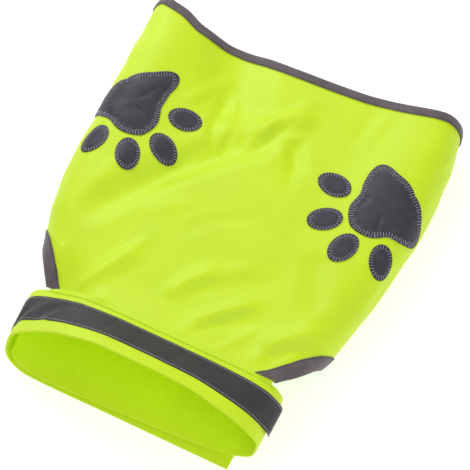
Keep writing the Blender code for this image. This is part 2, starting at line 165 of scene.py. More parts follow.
# Softer creases of the back and flanks, on the cloth itself: distance over it and station.
# Columns: start, middle, end, height, width
CREASES = (
    ((-92.0, -18.0), (-46.0, 52.0), (12.0, 88.0), -3.6, 22.0),
    ((-55.0, 116.0), (-53.0, 86.0), (-38.0, 48.0), -2.4, 9.0),
    ((-29.0, 80.0), (-31.0, 64.0), (-27.0, 46.0), -1.2, 6.5),
    ((-50.0, 58.0), (-50.0, 42.0), (-64.0, 16.0), -1.2, 9.0),
    ((-45.0, 116.0), (-42.0, 92.0), (-33.0, 70.0), 1.1, 8.0),
    ((-84.0, 80.0), (-73.0, 104.0), (-54.0, 134.0), 1.3, 10.0),
    ((-13.0, 64.0), (-5.0, 98.0), (26.0, 142.0), 1.9, 10.5),
    ((-13.0, 48.0), (4.0, 78.0), (8.0, 118.0), -1.9, 10.5),
    ((10.0, 48.0), (18.0, 84.0), (24.0, 118.0), 1.0, 11.0),
    ((24.0, 90.0), (31.0, 68.0), (38.0, 40.0), -1.1, 10.0),
    ((-88.0, -130.0), (-65.0, -90.0), (-40.0, -38.0), 1.3, 8.0),
    ((-26.0, -31.0), (-1.0, -5.0), (30.0, 8.0), -0.7, 10.0),
    ((-14.0, -92.0), (4.0, -62.0), (54.0, -26.0), 1.0, 10.0),
    ((2.0, -82.0), (36.0, -57.0), (74.0, -30.0), -0.9, 11.0),
    ((12.0, -120.0), (24.0, -90.0), (80.0, -46.0), 1.0, 9.0),
    ((22.0, -106.0), (50.0, -86.0), (82.0, -68.0), -1.1, 11.0),
    ((46.0, -120.0), (60.0, -95.0), (74.0, -78.0), 0.8, 7.0),
    ((76.0, -116.0), (83.0, -88.0), (136.0, -52.0), 1.7, 10.0),
    ((83.0, -106.0), (97.0, -88.0), (122.0, -77.0), -1.5, 10.0),
    ((-108.0, -80.0), (-102.0, -94.0), (-101.0, -110.0), 1.8, 6.5),
    ((84.0, 160.0), (79.0, 132.0), (78.0, 102.0), 0.9, 10.0),
    ((-112.0, -30.0), (-104.0, 0.0), (-98.0, 22.0), 1.1, 11.0),
    ((60.0, 124.0), (78.0, 130.0), (100.0, 126.0), -0.7, 11.0),
    ((-60.0, -30.0), (-44.0, -12.0), (-22.0, 2.0), 0.7, 11.0),
    ((-150.0, -40.0), (-146.0, 0.0), (-156.0, 44.0), 1.2, 10.0),
    ((-170.0, 10.0), (-164.0, 60.0), (-174.0, 108.0), -1.3, 10.0),
    ((-150.0, 96.0), (-160.0, 122.0), (-176.0, 138.0), 1.1, 8.0),
    ((152.0, -36.0), (148.0, 4.0), (158.0, 30.0), -1.1, 9.0),
    ((170.0, 30.0), (164.0, 74.0), (176.0, 118.0), 1.3, 10.0),
    ((146.0, 104.0), (156.0, 128.0), (170.0, 142.0), -1.0, 8.0),
)

# Creases of the belly, on its hidden side. They sink into the body, so that it rests flat.
BELLY_CREASES = (
    ((-330.0, -20.0), (-290.0, 4.0), (-250.0, 6.0), -1.1, 10.0),
    ((-240.0, 52.0), (-214.0, 70.0), (-205.0, 104.0), -1.3, 9.0),
    ((-322.0, 96.0), (-288.0, 110.0), (-262.0, 134.0), -0.9, 8.0),
    ((212.0, -22.0), (244.0, -6.0), (262.0, 24.0), -1.2, 10.0),
    ((252.0, 66.0), (280.0, 84.0), (292.0, 118.0), -1.0, 9.0),
    ((216.0, 108.0), (236.0, 128.0), (262.0, 134.0), -0.8, 7.0),
)
FOLD_STEPS = 9
FOLD_END_SHARE = 0.25

# Neck band. Columns: front x, front y, front z, rear x, rear y, rear z
STRAP_LIFT = 4.9
BAND_WIDTH = 46.0
BAND_SEAM_Y = NECK_SEAM_Y - 0.5
BAND_STATIONS = (
    (92.0, -180.8, 0.0, 93.5, -134.8, 0.0),
    (40.0, -181.3, 0.0, 41.0, -135.3, 0.0),
    (-20.0, -181.8, 0.0, -20.0, -135.8, 0.0),
    (-70.0, -182.4, 0.0, -76.0, -136.3, 0.0),
    (-88.0, -182.2, 0.9, -95.0, -136.2, 0.8),
    (-102.5, -180.4, 7.5, -110.0, -134.4, 6.5),
    (-109.0, -175.8, 19.0, -115.2, -130.2, 16.0),
    (-107.0, -169.5, 32.5, -112.5, -123.5, 25.5),
    (-92.0, -163.0, 46.5, -97.0, BAND_SEAM_Y, None),
    (-60.0, -158.5, 64.8, -61.0, BAND_SEAM_Y, None),
    (-23.0, -156.8, 75.8, -22.0, BAND_SEAM_Y, None),
    (11.0, -157.0, 76.8, 12.0, BAND_SEAM_Y, None),
    (45.0, -157.2, 74.0, 47.0, BAND_SEAM_Y, None),
    (76.0, -160.2, 66.5, 78.0, BAND_SEAM_Y, None),
    (99.0, -162.8, 54.5, 99.0, NECK_SEAM_Y - 1.0, 49.0),
    (110.5, -164.5, 36.0, 111.0, -120.0, 33.0),
    (107.5, -166.8, 16.0, 108.5, -121.8, 16.0),
    (92.0, -170.5, 6.6, 93.0, -125.1, 6.6),
    (72.0, -173.5, STRAP_LIFT, 73.0, -127.9, STRAP_LIFT),
    (-5.0, -178.3, STRAP_LIFT, -4.0, -128.0, STRAP_LIFT),
    (-70.0, -180.9, STRAP_LIFT, -74.0, -124.5, STRAP_LIFT),
    (-85.5, -180.8, 5.9, -91.8, -126.5, 5.8),
    (-98.4, -178.9, 11.3, -105.6, -129.0, 10.3),
    (-104.2, -175.2, 18.5, -110.8, -129.7, 16.0),
)
# Wrinkles of the band where it bends, as station number and width across.
# Columns: start, middle, end, height, width
BAND_WRINKLES = (
    ((6.9, 4.0), (7.25, 22.0), (7.9, 42.0), -1.3, 4.5),
    ((7.35, 8.0), (7.8, 24.0), (8.45, 38.0), 1.4, 4.5),
    ((7.85, 10.0), (8.25, 25.0), (8.8, 40.0), -1.5, 4.0),
    ((8.2, 8.0), (8.5, 20.0), (9.0, 36.0), 1.1, 4.0),
    ((9.6, 12.0), (9.75, 24.0), (9.95, 38.0), -0.7, 5.5),
    ((11.3, 10.0), (11.4, 22.0), (11.6, 34.0), -0.5, 6.0),
    ((15.3, 6.0), (15.5, 20.0), (15.5, 40.0), -1.0, 5.0),
    ((16.2, 6.0), (16.3, 22.0), (16.5, 36.0), 0.9, 5.0),
)

# Seam allowance over the seam of band and body. Its ends are station numbers of the band.
SEAM_STRIP_STATIONS = (7.95, 14.1)
SEAM_STRIP_ACROSS = 44.4
SEAM_STRIP_REAR = -114.6
SEAM_STRIP_HEIGHT = 0.7
SEAM_STRIP_WALL = 0.5
SEAM_STRIP_WIDTH = 6.0

# Reflective tape on the band, from its front edge. Its right end stands off.
TAPE_FRONT = 12.0
TAPE_WIDTH = 26.0
TAPE_START_STATION = 5.6
TAPE_END_STATION = 15.15
TAPE_FREE_LENGTH = 16.0
TAPE_FREE_LIFT = 2.6
TAPE_STITCH_INSET = 1.7

# Paw prints, laid out from the middle of the pad. Angles are from the toes' direction.
PAW_DISTANCE = 119.0
PAW_STATION = 60.5
PAW_TURN = {-1: radians(40.0), 1: radians(37.5)}
# Columns: angle, left radius, right radius
PAD_OUTLINE = (
    (0.0, 34.0, 34.0),
    (32.0, 30.5, 30.5),
    (63.0, 26.0, 25.5),
    (90.0, 32.0, 33.0),
    (115.0, 46.0, 43.0),
    (140.0, 32.5, 34.0),
    (180.0, 23.5, 28.0),
)
# Columns: angle, distance, half length, half width
TOES = (
    (-56.0, 47.5, 15.0, 10.5),
    (-17.0, 51.0, 15.0, 10.5),
    (18.0, 51.5, 15.0, 10.5),
    (58.0, 48.5, 15.0, 11.0),
)
PAW_RINGS = (0.0, 0.15, 0.3, 0.44, 0.56, 0.66, 0.74, 0.81, 0.865, 0.91, 0.95, 0.985, 1.0)
# Creases of the pads, as forward and sideways in the paw's own plane.
# Columns: start, middle, end, height, width
PAD_CREASES = {
    1: (
        ((22.0, -20.0), (14.0, -12.0), (8.0, -2.0), -1.0, 4.0),
        ((20.0, 12.0), (12.0, 14.0), (4.0, 18.0), -0.9, 3.5),
        ((-6.0, -30.0), (-10.0, -14.0), (-6.0, 2.0), 0.5, 6.0),
    ),
    -1: (
        ((18.0, 8.0), (10.0, 4.0), (2.0, -4.0), -0.9, 4.0),
        ((12.0, -22.0), (4.0, -18.0), (-4.0, -18.0), 0.6, 5.0),
        ((-8.0, 24.0), (-4.0, 14.0), (2.0, 8.0), -0.7, 4.0),
    ),
}

# Closures: middle x, middle y, length in x, length in y, underside z
CLOSURES = {
    "neck": (10.0, -154.5, 80.0, 30.0, 2.3),
    "belly": (3.0, 56.0, 30.0, 150.0, 1.8),
}
CLOSURE_STEP = 1.3
CLOSURE_WALL = 0.55
CLOSURE_CORNER = 3.0
HOOK_TOP = 1.0
PILE_ROW = 2.4
PILE_INSET = 3.0
# Inputs of the stitch tree, lengths in metres
PILE_SIZES = {
    "Spacing": 0.0024, "Length": 0.0012, "Thickness": 0.00022, "Turn": 0.6, "Swing": 0.5, "Unevenness": 0.3
}

CAMERA_TARGET = (0.00761, 0.0129, 0.0)
CAMERA_DISTANCE = 1.111
CAMERA_AZIMUTH = radians(26.3)
CAMERA_ELEVATION = radians(62.0)
CAMERA_LENS = 99.57
SENSOR_WIDTH = 36
FLOOR_REACH = 3.0
WORLD_STRENGTH = 0.5
# Columns: name, place in metres, watts, size in metres. They look at the origin.
LAMPS = (
    ("key", (-0.85, 0.8, 0.95), 11.0, 0.6),
    ("fill", (0.75, -0.55, 1.1), 5.5, 0.9),
)


# ---------------------------------------------------------------- sizes and colours


def size_property(name, description, default):
    """A size in metres."""
    return FloatProperty(name=name, description=description, default=default, unit="LENGTH")


def colour_property(name, description, default):
    """A linear colour."""
    return FloatVectorProperty(name=name, description=description, default=default, subtype="COLOR")


class VestSizes(PropertyGroup):
    """Sizes of the knit and the sewing."""

    knit_stitch: size_property("Knit stitch", "Width of one stitch of the body's knit", 0.00085)
    band_stitch: size_property("Band stitch", "Width of one stitch of the band's knit", 0.0013)
    seam_stitch: size_property("Seam stitch", "Length of one straight stitch", 0.0026)
    paw_stitch: size_property("Paw stitch spacing", "From bar to bar of the paws' edging", 0.0024)
    paw_stitch_width: size_property("Paw stitch width", "Length of the bars of the paws' edging", 0.0032)
    thread: size_property("Thread", "Thickness of the sewing thread", 0.00038)


class VestColours(PropertyGroup):
    """Colours of the cloths and threads."""

    knit: colour_property("Knit", "Fluorescent knit", (0.52, 0.72, 0.003))
    binding: colour_property("Binding", "Binding tape", (0.112, 0.091, 0.100))
    tape: colour_property("Reflective tape", "Tape on the band", (0.043, 0.043, 0.046))
    paws: colour_property("Paw prints", "Reflective cloth of the paws", (0.046, 0.042, 0.056))
    closure: colour_property("Closure", "Ground of the hook-and-loop tapes", (0.55, 0.78, 0.04))
    pile: colour_property("Pile", "Hooks and loops", (0.6, 0.82, 0.08))
    pale_thread: colour_property("Pale thread", "Thread of the paws and tape", (0.46, 0.44, 0.54))
    dark_thread: colour_property("Dark thread", "Thread of the bindings", (0.045, 0.034, 0.042))
    bright_thread: colour_property("Bright thread", "Thread of the neck seam", (0.62, 0.85, 0.06))


# ---------------------------------------------------------------- the vest's form


def smoothstep(share):
    """Soft rise from 0 to 1 as share goes from 0 to 1."""
    share = np.clip(share, 0.0, 1.0)
    return share * share * (3 - 2 * share)


def smooth_rows(table, places):
    """The other columns of a table at places in its first one, smooth and never past the rows."""
    rows = np.array(table, float)
    knots, values = rows[:, 0], rows[:, 1:]
    secants = np.diff(values, axis=0) / np.diff(knots)[:, None]
    turning = secants[:-1] * secants[1:] <= 0
    sums = np.where(turning, 1.0, secants[:-1] + secants[1:])
    inner = np.where(turning, 0.0, 2 * secants[:-1] * secants[1:] / sums)
    slopes = np.concatenate([secants[:1], inner, secants[-1:]])
    places = np.asarray(places, float)
    row = np.clip(np.searchsorted(knots, places) - 1, 0, len(knots) - 2)
    span = (knots[row + 1] - knots[row])[..., None]
    t = np.clip((places - knots[row])[..., None] / span, 0, 1)
    start = (1 + 2 * t) * (1 - t) ** 2 * values[row] + t * (1 - t) ** 2 * span * slopes[row]
    end = t * t * (3 - 2 * t) * values[row + 1] + t * t * (t - 1) * span * slopes[row + 1]
    return start + end


def fold_height(folds, x, y):
    """Height of all the folds of a table at places x, y."""
    total = np.zeros(np.broadcast(x, y).shape)
    steps = np.linspace(0, 1, FOLD_STEPS)
    for *corners, height, width in folds:
        weights = np.stack([(1 - steps) ** 2, 2 * steps * (1 - steps), steps**2], -1)
        bow = weights @ np.array(corners, float)
        nearest = np.full_like(total, np.inf)
        share = np.zeros_like(total)
        for number, (here, run) in enumerate(zip(bow, np.diff(bow, axis=0))):
            along = np.clip(((x - here[0]) * run[0] + (y - here[1]) * run[1]) / (run @ run), 0, 1)
            away = np.hypot(x - here[0] - run[0] * along, y - here[1] - run[1] * along)
            share = np.where(away < nearest, (number + along) / (FOLD_STEPS - 1), share)
            nearest = np.minimum(nearest, away)
        ends = smoothstep(np.minimum(share, 1 - share) / FOLD_END_SHARE)
        total += height * ends * (1 - smoothstep(nearest / width))
    return total


def edge_lift(station):
    """How far the belly is off the floor: its bound edges ride on their binding."""
    past_binding = np.minimum(FLAP_REAR_Y - HEM_LEG - station, station - FLAP_FRONT_Y - OPENING_LEG)
    return FLANK_CLEARANCE * (1 - smoothstep(past_binding / EDGE_FADE))


def ring_point(side, column, station):
    """x and z of the body's plain outer face at places on the column scale, 0 to 3, on one side."""
    left_width, right_width, crown, left, right, bend = np.moveaxis(smooth_rows(BODY_RINGS, station), -1, 0)
    width, shoulder = (right_width, right) if side > 0 else (left_width, left)
    flat = width - bend
    base = edge_lift(station)
    back = np.clip(column, 0, 1)
    rise = (back - BACK_RISE_START) / (1 - BACK_RISE_START)
    turn = np.clip(column - 1, 0, 1) * pi
    belly = np.clip(column - 2, 0, 1)
    belly_x = flat - (flat + FLAP_OVERLAP) * belly
    belly_z = base + (FLAP_LIFT if side > 0 else 0) * smoothstep((flat - belly_x) / (flat - FLAP_RISE_END))
    x = np.where(column <= 1, flat * back, np.where(column <= 2, flat + bend * np.sin(turn), belly_x))
    flank_z = base + (shoulder - base) * (1 + np.cos(turn)) / 2
    back_z = crown + (shoulder - crown) * smoothstep(rise)
    z = np.where(column <= 1, back_z, np.where(column <= 2, flank_z, belly_z))
    weight = 1 - smoothstep(turn / pi / FLANK_FOLD_REACH)
    return side * x, z + fold_height(FOLDS, side * x, station) * weight


RULE_STATIONS = np.arange(-134.0, 187.0, 1.0)
RULE_COLUMNS = np.linspace(0, 3, 451)
RULE_DISTANCES = np.arange(0.0, 470.0, 1.0)


@lru_cache(maxsize=None)
def cloth_rule(side):
    """Two rules of one side: distance by station and column, and column by station and distance."""
    x, z = ring_point(side, RULE_COLUMNS[None, :], RULE_STATIONS[:, None])
    steps = np.hypot(np.diff(x, axis=1), np.diff(z, axis=1))
    lengths = np.concatenate([np.zeros((len(x), 1)), np.cumsum(steps, axis=1)], axis=1)
    columns = np.array([np.interp(RULE_DISTANCES, row, RULE_COLUMNS) for row in lengths])
    return lengths, columns


def read_rule(rule, station, place, step):
    """Value of a rule between its lines."""
    row = np.clip(station - RULE_STATIONS[0], 0, len(RULE_STATIONS) - 1.001)
    column = np.clip(place / step, 0, rule.shape[1] - 1.001)
    row, column = np.broadcast_arrays(row, column)
    i, j = row.astype(int), column.astype(int)
    u, v = row - i, column - j
    low = rule[i, j] * (1 - v) + rule[i, j + 1] * v
    high = rule[i + 1, j] * (1 - v) + rule[i + 1, j + 1] * v
    return low * (1 - u) + high * u


def column_distance(column, station):
    """Distance over the cloth of signed places on the column scale."""
    column, station = np.broadcast_arrays(np.asarray(column, float), np.asarray(station, float))
    left = -read_rule(cloth_rule(-1)[0], station, -column, RULE_COLUMNS[1])
    right = read_rule(cloth_rule(1)[0], station, column, RULE_COLUMNS[1])
    return np.where(column < 0, left, right)


def cloth_waves(distance, station):
    """Small uneven swells of worn cloth."""
    swell = np.sin(distance / 21.0 + 1.3 * np.sin(station / 34.0)) * np.sin(station / 27.0 + distance / 60.0)
    return 0.22 * swell + 0.12 * np.sin(distance / 9.3 + station / 13.0) * np.sin(station / 11.0 - distance / 31.0)


def crease_height(distance, station):
    """Height of the softer creases on the cloth."""
    away = np.abs(distance)
    visible = fold_height(CREASES, distance, station)
    hidden = fold_height(BELLY_CREASES, distance, station)
    flap = smoothstep((away - 205.0) / 25.0)
    quiet = smoothstep((rear_edge_of(distance) - station) / 25.0)
    return (visible + cloth_waves(distance, station) * (1 - flap)) * (0.35 + 0.65 * quiet) + hidden


def rear_edge_of(distance):
    """Rough station of the hem's edge, for what fades towards it."""
    return 160.0 + 8.0 * smoothstep((np.abs(distance) - 70.0) / 60.0)


def body_point(distance, station):
    """Points of the body's outer face."""
    distance, station = np.broadcast_arrays(np.asarray(distance, float), np.asarray(station, float))
    points = np.zeros((*distance.shape, 3))
    crease = crease_height(distance, station)
    for side in (-1, 1):
        here = (distance < 0) == (side < 0)
        column = read_rule(cloth_rule(side)[1], station[here], np.abs(distance[here]), 1.0)
        x, z = ring_point(side, column, station[here])
        turn = np.clip(column - 1, 0, 1) * pi
        lift = crease[here]
        points[here] = np.stack([x + side * np.sin(turn) * lift, station[here], z + np.cos(turn) * lift], -1)
    return points


def run_lengths(points):
    """Length from the first point to each point of a line."""
    return np.concatenate([[0], np.cumsum(np.linalg.norm(np.diff(points, axis=0), axis=-1))])


def unit(vectors):
    """Vectors of length 1."""
    return vectors / np.maximum(np.linalg.norm(vectors, axis=-1, keepdims=True), 1e-9)


def body_normal(distance, station):
    """Outward normals of the body's outer face."""
    across = body_point(distance + 0.8, station) - body_point(distance - 0.8, station)
    along = body_point(distance, station + 0.8) - body_point(distance, station - 0.8)
    return unit(np.cross(across, along))


def lay_on_body(distance, station, height=0.0):
    """Points at a height off the body's outer face."""
    return body_point(distance, station) + body_normal(distance, station) * np.asarray(height)[..., None]


def edge_station(table, column):
    """Station of an edge, from its left or right column."""
    edges = smooth_rows(table, np.abs(column))
    return np.where(column > 0, edges[..., 1], edges[..., 0])


def opening_edge(column):
    """Station of the line of a leg opening's edge."""
    return edge_station(OPENING_EDGE, column)


def front_edge(column):
    """Station of the front edge: the neck seam, then the leg opening."""
    return np.maximum(NECK_SEAM_Y, opening_edge(column))


def rear_edge(column):
    """Station of the hem's edge."""
    return edge_station(REAR_EDGE, column)


def beside_edge(edge, column, width):
    """Distances over the cloth and stations of places at a width to the left of an edge."""
    column, width = np.broadcast_arrays(column, width)
    before, here, after = (
        np.stack([column_distance(place, edge(place)), edge(place)], -1)
        for place in (column - EDGE_STEP, column, column + EDGE_STEP)
    )
    run = unit(after - before)
    places = here + np.stack([-run[..., 1], run[..., 0]], -1) * width[..., None]
    return places[..., 0], places[..., 1]


def slanted(column, width):
    """Columns of an armhole binding, moved for the slant with which it starts at the neck seam."""
    column, width = np.broadcast_arrays(column, width)
    side = np.sign(column)
    line = np.linspace(SLANT_START, SLANT_END, 80)
    moved = np.abs(column).astype(float)
    for one in (-1, 1):
        for value in np.unique(width):
            here = (side == one) & (width == value) & (moved < SLANT_END)
            start = np.interp(BINDING_SEAM_Y, beside_edge(opening_edge, one * line, value)[1], line)
            share = (moved[here] - ARMHOLE_START) / (SLANT_END - ARMHOLE_START)
            moved[here] = start + (SLANT_END - start) * share
    return side * moved


def neck_seam_height(x):
    """Height of the body's outer face at the neck seam."""
    side = -1 if x < 0 else 1
    column = np.linspace(0, 1, 81)
    outline_x, outline_z = ring_point(side, column, np.full_like(column, NECK_SEAM_Y))
    return float(np.interp(abs(x), np.abs(outline_x), outline_z))


@lru_cache(maxsize=1)
def band_table():
    """The band's stations, each after its distance along the band's middle line."""
    rows = [(*row[:5], neck_seam_height(row[3]) if row[5] is None else row[5]) for row in BAND_STATIONS]
    rows = np.array(rows)
    return np.column_stack([run_lengths((rows[:, :3] + rows[:, 3:]) / 2), rows])


def station_distance(station):
    """Distance along the band of whole or part station numbers."""
    distance = band_table()[:, 0]
    return np.interp(station, range(len(distance)), distance)


@lru_cache(maxsize=1)
def band_wrinkles():
    """The band's wrinkles, with places along it in millimetres."""
    placed = []
    for *bow, height, width in BAND_WRINKLES:
        placed.append((*[(float(station_distance(at)), across) for at, across in bow], height, width))
    return tuple(placed)


def plain_band_point(along, across):
    """Points of the band's outer face, without wrinkles."""
    values = smooth_rows(band_table(), along)
    share = (np.asarray(across) / BAND_WIDTH)[..., None]
    return values[..., :3] * (1 - share) + values[..., 3:] * share


def band_normal(along, across):
    """Outward normals of the band."""
    ahead = plain_band_point(along + 1, across) - plain_band_point(along - 1, across)
    width = plain_band_point(along, np.full_like(across, BAND_WIDTH)) - plain_band_point(along, 0 * across)
    return unit(np.cross(ahead, width))


def lay_on_band(along, across, height=0.0):
    """Points at a height off the band's wrinkled outer face."""
    along, across = np.broadcast_arrays(np.asarray(along, float), np.asarray(across, float))
    wrinkle = fold_height(band_wrinkles(), along, across)
    lift = np.asarray(height) + wrinkle
    return plain_band_point(along, across) + band_normal(along, across) * lift[..., None]


# ---------------------------------------------------------------- meshes


def in_frame(points):
    """Points in millimetres as a list of places in the frame."""
    return ((np.asarray(points) + ORIGIN_SHIFT) * MM).tolist()


def finish_mesh(mesh, material, crease_angle):
    """Shades a mesh smooth but for its sharp edges, and gives it its material."""
    mesh.shade_smooth()
    mesh.set_sharp_from_angle(angle=crease_angle)
    mesh.materials.append(material)
    mesh.validate()


def plain_mesh(name, points, faces, uv):
    """A mesh of points in millimetres, with the cloth map uv of each point in metres."""
    mesh = bpy.data.meshes.new(name)
    mesh.from_pydata(in_frame(points), [], faces)
    layer = mesh.uv_layers.new(name="cloth")
    corners = np.array([corner for face in faces for corner in face])
    layer.data.foreach_set("uv", (np.asarray(uv)[corners] * MM).ravel())
    mesh.update()
    return mesh


def grid_mesh(name, points, uv, closed=False):
    """A mesh over a grid of points [columns, rows, 3], an open sheet or a tube with closed ends."""
    columns, rows = points.shape[:2]
    number = np.arange(columns * rows).reshape(columns, rows)
    if closed:
        number = np.concatenate([number, number[:, :1]], axis=1)
    faces = np.stack([number[:-1, :-1], number[1:, :-1], number[1:, 1:], number[:-1, 1:]], -1).reshape(-1, 4).tolist()
    if closed:
        for end, order in ((0, 1), (columns - 1, -1)):
            for j in range(rows // 2 - 1):
                cap = number[end, [j, j + 1, rows - 2 - j, rows - 1 - j]].tolist()
                faces.append(cap[::order])
    return plain_mesh(name, points.reshape(-1, 3), faces, uv.reshape(-1, 2))


def add_piece(name, mesh, nodes):
    """A finished piece that rides on the vest and stands for its solids."""
    piece = bpy.data.objects.new(name, mesh)
    bpy.context.scene.collection.objects.link(piece)
    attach(piece, "root")
    if nodes:
        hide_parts(*nodes)
    return piece


def settle(scratch, name):
    """The plain mesh of a scratch object with its modifiers carried out."""
    depsgraph = bpy.context.evaluated_depsgraph_get()
    mesh = bpy.data.meshes.new_from_object(scratch.evaluated_get(depsgraph), depsgraph=depsgraph)
    mesh.name = name
    old = scratch.data
    bpy.data.objects.remove(scratch)
    bpy.data.meshes.remove(old)
    return mesh


def cloth_sheet(name, points, uv, wall, material, nodes):
    """An open grid of cloth with its wall inwards, as a finished piece."""
    scratch = bpy.data.objects.new(name + "_cut", grid_mesh(name + "_cut", points, uv))
    bpy.context.scene.collection.objects.link(scratch)
    solidify = scratch.modifiers.new("Wall", "SOLIDIFY")
    solidify.thickness = wall * MM
    solidify.offset = -1
    solidify.use_even_offset = True
    solidify.use_quality_normals = True
    mesh = settle(scratch, name)
    finish_mesh(mesh, material, radians(60))
    return add_piece(name, mesh, nodes)


# ---------------------------------------------------------------- materials


def plug(tree, socket, value):
    """Sets an input socket, or links it to a value that is a socket itself."""
    if isinstance(value, bpy.types.NodeSocket):
        tree.links.new(value, socket)
    elif value is not None:
        socket.default_value = value


def add_node(tree, kind, **values):
    """A node with its own settings, and its input sockets by name with _ for spaces."""
    node = tree.nodes.new(kind)
    for key, value in values.items():
        if hasattr(node, key):
            setattr(node, key, value)
        else:
            plug(tree, node.inputs[key.replace("_", " ")], value)
    return node


def calculate(tree, operation, *values):
    """The output of a Math node on sockets or numbers."""
    node = add_node(tree, "ShaderNodeMath", operation=operation)
    for socket, value in zip(node.inputs, values):
        plug(tree, socket, value)
    return node.outputs[0]


def new_group(name, inputs, outputs, kind="ShaderNodeTree"):
    """A node group with named sockets, and its input and output nodes."""
    group = bpy.data.node_groups.new(name, kind)
    for label, socket_kind, default in inputs:
        socket = group.interface.new_socket(label, in_out="INPUT", socket_type=socket_kind)
        if default is not None:
            socket.default_value = default
    for label, socket_kind in outputs:
        group.interface.new_socket(label, in_out="OUTPUT", socket_type=socket_kind)
    return group, group.nodes.new("NodeGroupInput"), group.nodes.new("NodeGroupOutput")


@lru_cache(maxsize=None)
def knit_group():
    """Rows of small loops with a dimple between them, by the cloth map. Its Tone is darker in the dimples: painted
    shade in the knit's hollows.
    """
    group, given, made = new_group(
        "knit loops",
        (("Cloth", "NodeSocketVector", None), ("Stitch", "NodeSocketFloat", 0.00085)),
        (("Height", "NodeSocketFloat"), ("Tone", "NodeSocketFloat")),
    )
    apart = add_node(group, "ShaderNodeSeparateXYZ", Vector=given.outputs["Cloth"])
    turn = calculate(group, "DIVIDE", pi, given.outputs["Stitch"])
    across = calculate(group, "SINE", calculate(group, "MULTIPLY", apart.outputs[0], turn))
    course = calculate(group, "MULTIPLY", turn, 0.86)
    along = calculate(group, "SINE", calculate(group, "MULTIPLY", apart.outputs[1], course))
    dots = calculate(group, "MULTIPLY", across, along)
    wales = calculate(group, "MULTIPLY", calculate(group, "ABSOLUTE", across), 0.35)
    plug(group, made.inputs["Height"], calculate(group, "MULTIPLY_ADD", dots, 0.5, wales))
    # Tone follows the dimples: painted shade, darker in the hollows between the loops and lighter on them.
    plug(group, made.inputs["Tone"], calculate(group, "MULTIPLY_ADD", dots, 0.5, 0.5))
    return group


@lru_cache(maxsize=None)
def weave_group():
    """Plain weave, ribs one way and picks the other, by the cloth map."""
    group, given, made = new_group(
        "fine weave",
        (("Cloth", "NodeSocketVector", None), ("Rib", "NodeSocketFloat", 0.0009), ("Pick", "NodeSocketFloat", 0.0006)),
        (("Height", "NodeSocketFloat"),),
    )
    apart = add_node(group, "ShaderNodeSeparateXYZ", Vector=given.outputs["Cloth"])
    ribs, picks = (
        calculate(group, "SINE", calculate(group, "MULTIPLY", apart.outputs[axis], calculate(
            group, "DIVIDE", 2 * pi, given.outputs[label])))
        for label, axis in (("Rib", 1), ("Pick", 0))
    )
    plug(group, made.inputs["Height"], calculate(group, "MULTIPLY_ADD", picks, 0.4, ribs))
    return group


@lru_cache(maxsize=None)
def rubbed_group():
    """Faint rubbed creases along a cloth, by the cloth map."""
    group, given, made = new_group(
        "rubbed creases",
        (("Cloth", "NodeSocketVector", None), ("Scale", "NodeSocketFloat", 55.0)),
        (("Height", "NodeSocketFloat"), ("Tone", "NodeSocketFloat")),
    )
    longer = add_node(group, "ShaderNodeVectorMath", operation="MULTIPLY")
    plug(group, longer.inputs[0], given.outputs["Cloth"])
    plug(group, longer.inputs[1], (1.0, 2.6, 1.0))
    noise = add_node(
        group, "ShaderNodeTexNoise", Vector=longer.outputs[0], Scale=given.outputs["Scale"],
        Detail=4.0, Roughness=0.6, Distortion=1.2,
    )
    for label in ("Height", "Tone"):
        plug(group, made.inputs[label], noise.outputs["Fac"])
    return group


@lru_cache(maxsize=None)
def mottle_group():
    """Broad soft patches and fine fuzz, by place."""
    scales = ("Patch Scale", "NodeSocketFloat", 22.0), ("Fuzz Scale", "NodeSocketFloat", 1800.0)
    group, given, made = new_group(
        "mottle and fuzz",
        (("Place", "NodeSocketVector", None), *scales),
        (("Patches", "NodeSocketFloat"), ("Fuzz", "NodeSocketFloat")),
    )
    for (label, _, _), output, detail in zip(scales, ("Patches", "Fuzz"), (2.0, 1.0)):
        noise = add_node(
            group, "ShaderNodeTexNoise", Vector=given.outputs["Place"], Scale=given.outputs[label], Detail=detail
        )
        plug(group, made.inputs[output], noise.outputs["Fac"])
    return group


